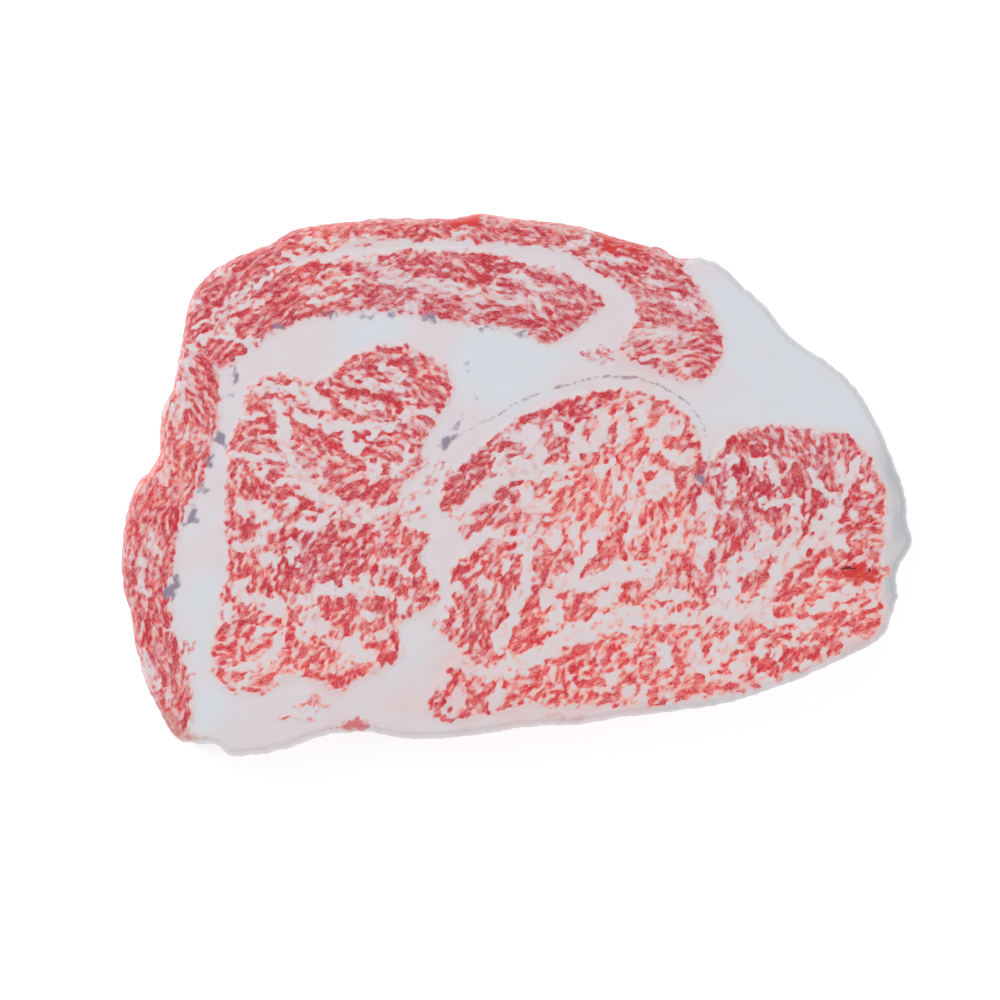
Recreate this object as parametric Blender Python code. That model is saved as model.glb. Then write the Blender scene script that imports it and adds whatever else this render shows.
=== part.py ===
"""A thick-cut wagyu rib eye steak lying flat with its cut face up, as one solid.

The steak is a slab of fat as thick as the cut, with a soft rounded rim. The muscles that run through it stand a little
proud of the fat on the upper face. Metres, +Z up. The origin is the middle of the resting face. Seen from above, +X is
to the right and +Y is towards the thin cap of meat at the top.
"""

import bpy
import numpy as np

MM = 0.001

# Driving sizes, in millimetres.
STEAK_WIDTH = 254.0
STEAK_THICKNESS = 30.0
LEAN_STANDS_PROUD = 0.9
MUSCLE_ROOT = 3.0
RIM_STEP = 4.0
MUSCLE_STEP = 4.0
CURVE_STEPS = 12
FAT_FACE = STEAK_THICKNESS - LEAN_STANDS_PROUD

# The outline of the whole cut seen from above, clockwise from the left end. It is scaled to the width above.
RIM = (
    (-121.5, 0.5), (-117.3, 5), (-114.3, 10.5), (-114.2, 18), (-113.2, 25), (-110.3, 31), (-108.8, 38),
    (-107.3, 47), (-105.6, 55), (-103.8, 61.5), (-99.5, 67), (-92.5, 72), (-84, 75.7), (-79, 77.4), (-73, 81.2),
    (-66, 83.2), (-54, 84.7), (-42, 86), (-28, 85.7), (-18, 86.1), (-11, 87.2), (0, 85.7), (12, 84.5),
    (21, 83.1), (31, 80), (41, 77.2), (46.5, 76.4), (52, 73), (59, 73.3), (66, 70.8), (72, 65), (80, 57.8),
    (86, 50), (92, 44.7), (100, 39.8), (109, 31.5), (116, 20), (120, 10.5), (123, 3), (125.2, -5),
    (125.6, -12), (127, -18.5), (123.2, -25.5), (121.9, -30), (122.6, -35), (121, -41), (117, -49),
    (107, -54.6), (94, -60.8), (80, -66.2), (66, -70.3), (50, -72.6), (35, -74.4), (22, -76.6), (5, -77.6),
    (-10, -79.8), (-25, -81.4), (-38, -81), (-46, -79.5), (-56, -79.6), (-64, -81), (-72, -84.2), (-82, -86.4),
    (-91.5, -86.7), (-96, -83.3), (-102, -83), (-108.5, -81.5), (-112.3, -76.3), (-117, -67.3), (-120.3, -58.5),
    (-122.3, -50), (-123.6, -40.5), (-125.6, -34.5), (-126.5, -27), (-126.1, -18), (-124.9, -9),
)

# The outlines of the muscles on the cut face, each clockwise.
LEFT_EYE = (
    (-84.5, 32), (-78, 35), (-71, 35.5), (-64.5, 32.5), (-60, 35), (-54, 39.5), (-45, 43.8), (-36, 44.7),
    (-28, 41.5), (-21.5, 36), (-20.5, 29), (-25, 21.5), (-29.5, 14), (-31, 6), (-38, -4), (-36, -12.5),
    (-28, -15.5), (-30.5, -23.5), (-25, -31), (-26, -38), (-34, -41.5), (-38, -47), (-36.5, -54.5),
    (-44, -59), (-51, -62), (-57, -66.5), (-64, -62), (-72, -61.5), (-82, -66.5), (-92, -65), (-96, -59),
    (-97, -53.5), (-94.8, -43), (-92.5, -30), (-91.5, -21), (-93, -13), (-92.3, -2), (-91.8, 10), (-88, 22),
)
MAIN_EYE = (
    (-25, -4), (-18, 6.5), (-8, 15), (0, 20.5), (10, 25.5), (22, 29.3), (34, 30.8), (44, 28.8), (52, 24),
    (57.5, 16.5), (59.5, 8), (62.5, 8), (68, 15.8), (78, 18.6), (92, 17.9), (106, 15.9), (110.8, 11.5),
    (115, 4.5), (117.5, -4.5), (118, -15), (115.8, -23), (116, -33), (116.5, -41), (113, -48.5),
    (103, -53.5), (88, -60.5), (72, -65.5), (55, -68.5), (38, -70.5), (20, -70.3), (4, -70), (-12, -73.3),
    (-24, -75), (-28, -69), (-23, -59.5), (-17.5, -52.5), (-25, -45.5), (-20, -39), (-21, -28), (-16, -20),
    (-19.5, -12.5),
)
CAP_STRIP = (
    (-86.3, 48.5), (-88, 54.5), (-84, 61), (-76, 66.8), (-66, 70.3), (-52, 72.8), (-38, 74.4), (-22, 75),
    (-8, 73.8), (4, 71), (16, 67), (25, 62.3), (28.2, 58.3), (25.5, 54.6), (20.5, 51), (15, 46.5),
    (9, 45.3), (3, 48.8), (-6, 50.8), (-18, 52), (-31, 54.4), (-45, 56), (-56, 55.5), (-64, 53.5),
    (-72, 51.3), (-78.5, 48.2), (-82.5, 46),
)
OUTER_CAP = (
    (-100, 59.5), (-100, 63), (-95.5, 67.3), (-88, 71.2), (-78, 75), (-70.5, 79.3), (-62, 81.2), (-48, 82.9),
    (-30, 83.4), (-11, 84.5), (6, 82.3), (22, 80.2), (34, 76.8), (43, 74), (50.5, 70.5), (56, 65.5),
    (61, 58.5), (63.7, 52), (66.3, 46.5), (65, 40), (61.5, 35), (56, 33), (47, 36), (37, 39.5), (33, 45),
    (37.3, 50.5), (38.3, 56.5), (35.5, 62), (29, 66.5), (22, 70.5), (14, 74.8), (0, 76.8), (-12, 77.8),
    (-26, 78.2), (-41, 77.5), (-56, 76), (-68, 73.9), (-78, 70.2), (-86, 64.9), (-92, 59.5), (-96, 56),
)
LEFT_STRIP = (
    (-102.5, 53), (-98.5, 48), (-91.5, 46.3), (-87, 44), (-88.5, 40), (-95, 36.5), (-94.5, 28), (-95, 19),
    (-97.5, 9), (-101, 0), (-105.5, -9), (-108.5, -18), (-109, -27), (-111, -34), (-109.5, -43),
    (-107.5, -53), (-104, -61), (-103.5, -69), (-104, -76), (-107, -78.7), (-110.5, -74.5), (-115, -66.5),
    (-118.5, -57), (-120.5, -47), (-121.7, -38), (-124, -31), (-124.3, -20), (-122.8, -9), (-119, -0.5),
    (-114.8, 6), (-112.4, 11.5), (-112.4, 19), (-111.2, 25.5), (-108.4, 31.5), (-107, 40), (-105.3, 48),
)

# The slab's wall from the table up, as pairs of how far it lies inside the outline and how high it is.
RIM_WALL = (
    (2.4, 0.0), (0.8, 1.3), (0.1, 4.5), (0.0, 14.0), (0.5, 22.5), (1.5, 27.0), (3.0, FAT_FACE),
)

# A muscle's wall from its root in the slab to the edge of its crown.
MUSCLE_WALL = (
    (0.0, FAT_FACE - MUSCLE_ROOT), (0.0, FAT_FACE + 0.15), (1.2, STEAK_THICKNESS),
)


def closed_curve(points, step):
    """A smooth closed line through the points, cut into equal steps. It is a Catmull-Rom curve."""
    after = np.array(points, float)
    before, last, beyond = (np.roll(after, k, axis=0) for k in (2, 1, -1))
    t = np.linspace(0, 1, CURVE_STEPS, endpoint=False)[:, None, None]
    dense = 0.5 * (
        2 * last
        + (after - before) * t
        + (2 * before - 5 * last + 4 * after - beyond) * t**2
        + (3 * last - before - 3 * after + beyond) * t**3
    )
    dense = dense.transpose(1, 0, 2).reshape(-1, 2)
    loop = np.vstack([dense, dense[:1]])
    along = np.concatenate([[0], np.cumsum(np.linalg.norm(np.diff(loop, axis=0), axis=1))])
    places = np.linspace(0, along[-1], round(along[-1] / step), endpoint=False)
    return np.column_stack([np.interp(places, along, loop[:, k]) for k in (0, 1)])


def moved_in(outline, distance):
    """The clockwise outline moved inwards by a distance, along its own smoothed normals."""
    ahead, behind = np.roll(outline, -1, axis=0), np.roll(outline, 1, axis=0)
    tangent = ahead - behind
    tangent += 0.5 * (np.roll(tangent, -1, axis=0) + np.roll(tangent, 1, axis=0))
    tangent /= np.linalg.norm(tangent, axis=1)[:, None]
    return outline + distance * np.column_stack([tangent[:, 1], -tangent[:, 0]])


rim = closed_curve(RIM, RIM_STEP)
middle = (rim.min(axis=0) + rim.max(axis=0)) / 2
scale = MM * STEAK_WIDTH / np.ptp(rim[:, 0])


def material(name, colour, roughness):
    made = bpy.data.materials.new(name)
    made.use_nodes = True
    shader = made.node_tree.nodes["Principled BSDF"]
    shader.inputs["Base Color"].default_value = (*colour, 1)
    shader.inputs["Roughness"].default_value = roughness
    shader.inputs["Metallic"].default_value = 0
    made.diffuse_color = (*colour, 1)
    return made


def body(name, points, step, wall, finish, collection):
    """A loft up through the wall's rings, each the outline moved in by its own distance, with a flat cap at each end."""
    outline = closed_curve(points, step)
    count = len(outline)
    top = count * (len(wall) - 1)
    corners = np.vstack([
        np.column_stack([(moved_in(outline, inside) - middle) * scale, np.full(count, height * MM)])
        for inside, height in wall
    ])
    sides = [
        (low + i, low + count + i, low + count + (i + 1) % count, low + (i + 1) % count)
        for low in range(0, top, count)
        for i in range(count)
    ]
    caps = [tuple(range(count)), tuple(range(top + count - 1, top - 1, -1))]
    mesh = bpy.data.meshes.new(name)
    mesh.from_pydata(corners.tolist(), [], sides + caps)
    mesh.materials.append(finish)
    made = bpy.data.objects.new(name, mesh)
    collection.objects.link(made)
    return made


def joined(slab, muscles):
    """The slab with the muscles fused into it by one Boolean union, and the muscles' own objects removed."""
    union = slab.modifiers.new("muscles", "BOOLEAN")
    union.operation = "UNION"
    union.operand_type = "COLLECTION"
    union.collection = muscles
    union.solver = "EXACT"
    union.material_mode = "TRANSFER"
    graph = bpy.context.evaluated_depsgraph_get()
    fused = bpy.data.meshes.new_from_object(slab.evaluated_get(graph))
    slab.modifiers.remove(union)
    slab.data = fused
    for muscle in list(muscles.objects):
        bpy.data.objects.remove(muscle)
    bpy.data.collections.remove(muscles)


def new_collection(name):
    made = bpy.data.collections.new(name)
    bpy.context.scene.collection.children.link(made)
    return made


for leftover in list(bpy.data.objects):
    bpy.data.objects.remove(leftover)

steak = new_collection("wagyu_rib_eye")
muscles = new_collection("muscles")
fat = material("beef_fat", (0.78, 0.70, 0.71), 0.45)
lean = material("marbled_lean", (0.66, 0.16, 0.18), 0.4)

rib_eye = body("rib_eye", RIM, RIM_STEP, RIM_WALL, fat, steak)
body("left_eye", LEFT_EYE, MUSCLE_STEP, MUSCLE_WALL, lean, muscles)
body("main_eye", MAIN_EYE, MUSCLE_STEP, MUSCLE_WALL, lean, muscles)
body("cap_strip", CAP_STRIP, MUSCLE_STEP, MUSCLE_WALL, lean, muscles)
body("outer_cap", OUTER_CAP, MUSCLE_STEP, MUSCLE_WALL, lean, muscles)
body("left_strip", LEFT_STRIP, MUSCLE_STEP, MUSCLE_WALL, lean, muscles)
joined(rib_eye, muscles)
rib_eye.data.set_sharp_from_angle(angle=np.radians(40))
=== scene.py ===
"""A thick-cut wagyu rib eye steak lying flat with its cut face up.

Metres, +Z up. The shapes are worked out in millimetres read off the cut face, and are placed last.
Seen from above, +X is to the right and +Y is towards the thin cap of meat at the top.
"""

import bpy
import numpy as np
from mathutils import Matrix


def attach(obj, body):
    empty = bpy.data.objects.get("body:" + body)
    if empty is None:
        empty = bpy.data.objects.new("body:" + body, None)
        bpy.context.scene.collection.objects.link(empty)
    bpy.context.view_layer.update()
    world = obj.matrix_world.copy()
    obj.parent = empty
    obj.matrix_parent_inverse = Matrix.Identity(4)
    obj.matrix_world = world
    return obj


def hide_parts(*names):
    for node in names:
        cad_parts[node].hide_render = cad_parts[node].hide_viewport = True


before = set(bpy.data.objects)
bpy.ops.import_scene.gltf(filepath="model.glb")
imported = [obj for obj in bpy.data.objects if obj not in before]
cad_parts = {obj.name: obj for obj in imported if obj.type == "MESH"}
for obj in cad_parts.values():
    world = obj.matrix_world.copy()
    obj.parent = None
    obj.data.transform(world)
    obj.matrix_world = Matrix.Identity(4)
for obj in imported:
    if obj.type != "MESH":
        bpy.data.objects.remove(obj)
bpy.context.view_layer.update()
MM = 0.001

# The table and the light. The steak lies on a plain white sweep, lit by a soft box high on its left, a
# larger and weaker one on its right and an even white surround, and is seen from straight above.
TABLE_SIZE = 3.0
TABLE_WHITE = (0.97, 0.97, 0.97)
TABLE_ROUGHNESS = 0.9
TABLE_SHINE = 0.1
TABLE_GLOW = 0.3
SURROUND = 0.62
# Each soft box has a place, a size in metres and a power in watts, and faces the steak.
SOFT_BOXES = {
    "key_light": ((-0.9, 0.9, 1.3), 0.9, 13.0),
    "fill_light": ((1.2, -0.5, 1.2), 1.2, 5.0),
}
# The view is this wide where it meets the view plane, just under the cut face.
CAMERA_HEIGHT = 2.0
VIEW_WIDTH = 0.32
VIEW_PLANE = 0.025
VIEW_CENTRE = (-0.00538, -0.0048)
VIEW_REACH = 20
SENSOR = 36.0

table_mesh = bpy.data.meshes.new("table")
half = TABLE_SIZE / 2
table_corners = [(-half, -half, 0), (half, -half, 0), (half, half, 0), (-half, half, 0)]
table_mesh.from_pydata(table_corners, [], [(0, 1, 2, 3)])
table = bpy.data.objects.new("table", table_mesh)
bpy.context.scene.collection.objects.link(table)
table_white = bpy.data.materials.new("table_white")
table_white.use_nodes = True
table_paint = table_white.node_tree.nodes["Principled BSDF"]
table_paint.inputs["Base Color"].default_value = (*TABLE_WHITE, 1)
table_paint.inputs["Roughness"].default_value = TABLE_ROUGHNESS
table_paint.inputs["Specular IOR Level"].default_value = TABLE_SHINE
table_paint.inputs["Emission Color"].default_value = (1, 1, 1, 1)
table_paint.inputs["Emission Strength"].default_value = TABLE_GLOW
table_mesh.materials.append(table_white)

for name, (place, size, power) in SOFT_BOXES.items():
    lamp = bpy.data.lights.new(name, "AREA")
    lamp.size = size
    lamp.energy = power
    box = bpy.data.objects.new(name, lamp)
    box.location = place
    x, y, z = place
    box.rotation_euler = (np.arccos(z / np.linalg.norm(place)), 0, np.arctan2(x, -y))
    bpy.context.scene.collection.objects.link(box)

surround = bpy.data.worlds.new("surround")
surround.use_nodes = True
surround.node_tree.nodes["Background"].inputs["Color"].default_value = (1, 1, 1, 1)
surround.node_tree.nodes["Background"].inputs["Strength"].default_value = SURROUND
bpy.context.scene.world = surround
bpy.context.scene.view_settings.view_transform = "Standard"

lens = bpy.data.cameras.new("camera")
lens.sensor_width = SENSOR
lens.lens = SENSOR * (CAMERA_HEIGHT - VIEW_PLANE) / VIEW_WIDTH
lens.clip_end = VIEW_REACH
camera = bpy.data.objects.new("camera", lens)
camera.location = (*VIEW_CENTRE, CAMERA_HEIGHT)
bpy.context.scene.collection.objects.link(camera)
bpy.context.scene.camera = camera

# The muscles. Five muscles of well marbled lean meat run through the cut from face to back, each held
# in fat. Their fibres, larger seams of fat and larger flecks of lean follow the steak, and the fine
# marbling between is grown from seeded noise along the fibres. Sizes and places are in millimetres.
STEAK_WIDTH = 254.0
STEAK_THICKNESS = 30.0
# In this order: an outline's even steps, the points worked out between two of its corners, the width of a
# square of the map, and the number of directions that noise is filtered for to follow the fibres.
RIM_STEP = 4.0
CURVE_STEPS = 12
MAP_STEP = 0.5
FIBRE_TURNS = 12

# The outline of the whole cut and of each muscle on the cut face, clockwise, in millimetres.
RIM = (
    (-121.5, 0.5), (-117.3, 5), (-114.3, 10.5), (-114.2, 18), (-113.2, 25), (-110.3, 31), (-108.8, 38),
    (-107.3, 47), (-105.6, 55), (-103.8, 61.5), (-99.5, 67), (-92.5, 72), (-84, 75.7), (-79, 77.4),
    (-73, 81.2), (-66, 83.2), (-54, 84.7), (-42, 86), (-28, 85.7), (-18, 86.1), (-11, 87.2), (0, 85.7),
    (12, 84.5), (21, 83.1), (31, 80), (41, 77.2), (46.5, 76.4), (52, 73), (59, 73.3), (66, 70.8), (72, 65),
    (80, 57.8), (86, 50), (92, 44.7), (100, 39.8), (109, 31.5), (116, 20), (120, 10.5), (123, 3),
    (125.2, -5), (125.6, -12), (127, -18.5), (123.2, -25.5), (121.9, -30), (122.6, -35), (121, -41),
    (117, -49), (107, -54.6), (94, -60.8), (80, -66.2), (66, -70.3), (50, -72.6), (35, -74.4), (22, -76.6),
    (5, -77.6), (-10, -79.8), (-25, -81.4), (-38, -81), (-46, -79.5), (-56, -79.6), (-64, -81),
    (-72, -84.2), (-82, -86.4), (-91.5, -86.7), (-96, -83.3), (-102, -83), (-108.5, -81.5), (-112.3, -76.3),
    (-117, -67.3), (-120.3, -58.5), (-122.3, -50), (-123.6, -40.5), (-125.6, -34.5), (-126.5, -27),
    (-126.1, -18), (-124.9, -9),
)
MUSCLES = {
    "left_eye": (
        (-84.5, 32), (-78, 35), (-71, 35.5), (-64.5, 32.5), (-60, 35), (-54, 39.5), (-45, 43.8),
        (-36, 44.7), (-28, 41.5), (-21.5, 36), (-20.5, 29), (-25, 21.5), (-29.5, 14), (-31, 6), (-38, -4),
        (-36, -12.5), (-28, -15.5), (-30.5, -23.5), (-25, -31), (-26, -38), (-34, -41.5), (-38, -47),
        (-36.5, -54.5), (-44, -59), (-51, -62), (-57, -66.5), (-64, -62), (-72, -61.5), (-82, -66.5),
        (-92, -65), (-96, -59), (-97, -53.5), (-94.8, -43), (-92.5, -30), (-91.5, -21), (-93, -13),
        (-92.3, -2), (-91.8, 10), (-88, 22),
    ),
    "main_eye": (
        (-25, -4), (-18, 6.5), (-8, 15), (0, 20.5), (10, 25.5), (22, 29.3), (34, 30.8), (44, 28.8),
        (52, 24), (57.5, 16.5), (59.5, 8), (62.5, 8), (68, 15.8), (78, 18.6), (92, 17.9), (106, 15.9),
        (110.8, 11.5), (115, 4.5), (117.5, -4.5), (118, -15), (115.8, -23), (116, -33), (116.5, -41),
        (113, -48.5), (103, -53.5), (88, -60.5), (72, -65.5), (55, -68.5), (38, -70.5), (20, -70.3),
        (4, -70), (-12, -73.3), (-24, -75), (-28, -69), (-23, -59.5), (-17.5, -52.5), (-25, -45.5),
        (-20, -39), (-21, -28), (-16, -20), (-19.5, -12.5),
    ),
    "cap_strip": (
        (-86.3, 48.5), (-88, 54.5), (-84, 61), (-76, 66.8), (-66, 70.3), (-52, 72.8), (-38, 74.4),
        (-22, 75), (-8, 73.8), (4, 71), (16, 67), (25, 62.3), (28.2, 58.3), (25.5, 54.6), (20.5, 51),
        (15, 46.5), (9, 45.3), (3, 48.8), (-6, 50.8), (-18, 52), (-31, 54.4), (-45, 56), (-56, 55.5),
        (-64, 53.5), (-72, 51.3), (-78.5, 48.2), (-82.5, 46),
    ),
    "outer_cap": (
        (-100, 59.5), (-100, 63), (-95.5, 67.3), (-88, 71.2), (-78, 75), (-70.5, 79.3), (-62, 81.2),
        (-48, 82.9), (-30, 83.4), (-11, 84.5), (6, 82.3), (22, 80.2), (34, 76.8), (43, 74), (50.5, 70.5),
        (56, 65.5), (61, 58.5), (63.7, 52), (66.3, 46.5), (65, 40), (61.5, 35), (56, 33), (47, 36),
        (37, 39.5), (33, 45), (37.3, 50.5), (38.3, 56.5), (35.5, 62), (29, 66.5), (22, 70.5), (14, 74.8),
        (0, 76.8), (-12, 77.8), (-26, 78.2), (-41, 77.5), (-56, 76), (-68, 73.9), (-78, 70.2), (-86, 64.9),
        (-92, 59.5), (-96, 56),
    ),
    "left_strip": (
        (-102.5, 53), (-98.5, 48), (-91.5, 46.3), (-87, 44), (-88.5, 40), (-95, 36.5), (-94.5, 28),
        (-95, 19), (-97.5, 9), (-101, 0), (-105.5, -9), (-108.5, -18), (-109, -27), (-111, -34),
        (-109.5, -43), (-107.5, -53), (-104, -61), (-103.5, -69), (-104, -76), (-107, -78.7),
        (-110.5, -74.5), (-115, -66.5), (-118.5, -57), (-120.5, -47), (-121.7, -38), (-124, -31),
        (-124.3, -20), (-122.8, -9), (-119, -0.5), (-114.8, 6), (-112.4, 11.5), (-112.4, 19),
        (-111.2, 25.5), (-108.4, 31.5), (-107, 40), (-105.3, 48),
    ),
}
THIN_MUSCLES = ("cap_strip", "outer_cap", "left_strip")

# The way the fibres run, as a place on the face and a direction in degrees.
FIBRES = (
    (-85, 25, 60), (-72, 32, 5), (-62, 28, -40), (-56, 37, 50), (-45, 38, -15), (-45, 30, -18),
    (-35, 38, -25), (-30, 28, -45), (-50, 25, -20), (-85, 14, 20), (-72, 20, -40), (-62, 12, -15),
    (-45, 13, -20), (-33, 20, -30), (-38, 6, 30), (-86, 3, 85), (-52, -3, 14), (-60, 4, 70), (-75, 3, -40),
    (-72, -6, 10), (-87, -13, 65), (-62, -20, 42), (-50, -17, 45), (-86, -27, 68), (-78, -20, 85),
    (-71, -29, 75), (-58, -29, 45), (-46, -29, 88), (-58, -40, 65), (-45, -45, 80), (-68, -42, -45),
    (-55, -47, 52), (-80, -45, 35), (-92, -45, 55), (-88, -55, 10), (-68, -57, 32), (-56, -61, 60),
    (-42, -54, 20), (-33, -22, 60), (-32, -45, 70), (-30, 0, 38), (-18, 3, 50), (-22, -6, 60),
    (-12, -15, 45), (-10, 7, 35), (0, 12, 30), (12, 10, 45), (8, 22, 5), (20, 22, 20), (25, 9, 15),
    (35, 8, 85), (30, 18, 60), (43, 20, 60), (50, 14, 15), (57, 13, 60), (52, -3, 88), (40, -5, 78),
    (30, -15, 66), (25, -25, 58), (15, -8, 60), (20, 0, 70), (5, -40, 58), (-12, -25, 55), (-12, -45, 65),
    (-3, 0, 40), (0, -13, 20), (14, -22, 65), (18, -58, 32), (30, -57, 35), (20, -40, 35), (38, -33, 55),
    (45, -50, 50), (60, -30, 55), (66, -14, 70), (75, 0, 78), (90, 3, 88), (78, 14, -30), (96, 13, -50),
    (105, 12, 85), (110, -5, 15), (103, -12, 45), (95, -5, 88), (78, -28, 68), (93, -26, 60),
    (100, -24, 10), (88, -38, 15), (105, -42, 28), (112, -38, 30), (90, -52, 65), (75, -50, 68),
    (60, -64, 20), (50, -68, 12), (51, -55, 105), (-10, -66, 60), (-22, -67, 45), (2, -67, 40),
    (100, -53, 75), (82, -62, 5), (36, -67, 60), (-82, 53, 55), (-70, 60, 32), (-50, 65, 8), (-30, 66, 0),
    (-8, 62, -10), (12, 57, -25), (22, 57, -38), (-60, 57, 14), (-35, 58, 4), (-10, 55, -5), (6, 53, -20),
    (-95, 62, 40), (-82, 72, 33), (-65, 78, 15), (-45, 80, 3), (-20, 81, -3), (0, 80, -5), (15, 77, -12),
    (30, 73, -25), (45, 65, -28), (55, 52, -20), (50, 40, 10), (60, 60, -45), (40, 36, 10), (-93, 42, 20),
    (-100, 35, 118), (-104, 25, 112), (-106, 10, 75), (-113, -5, 62), (-118, -20, 80), (-115, -40, 98),
    (-112, -60, 105), (-106, -72, 60),
)

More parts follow.
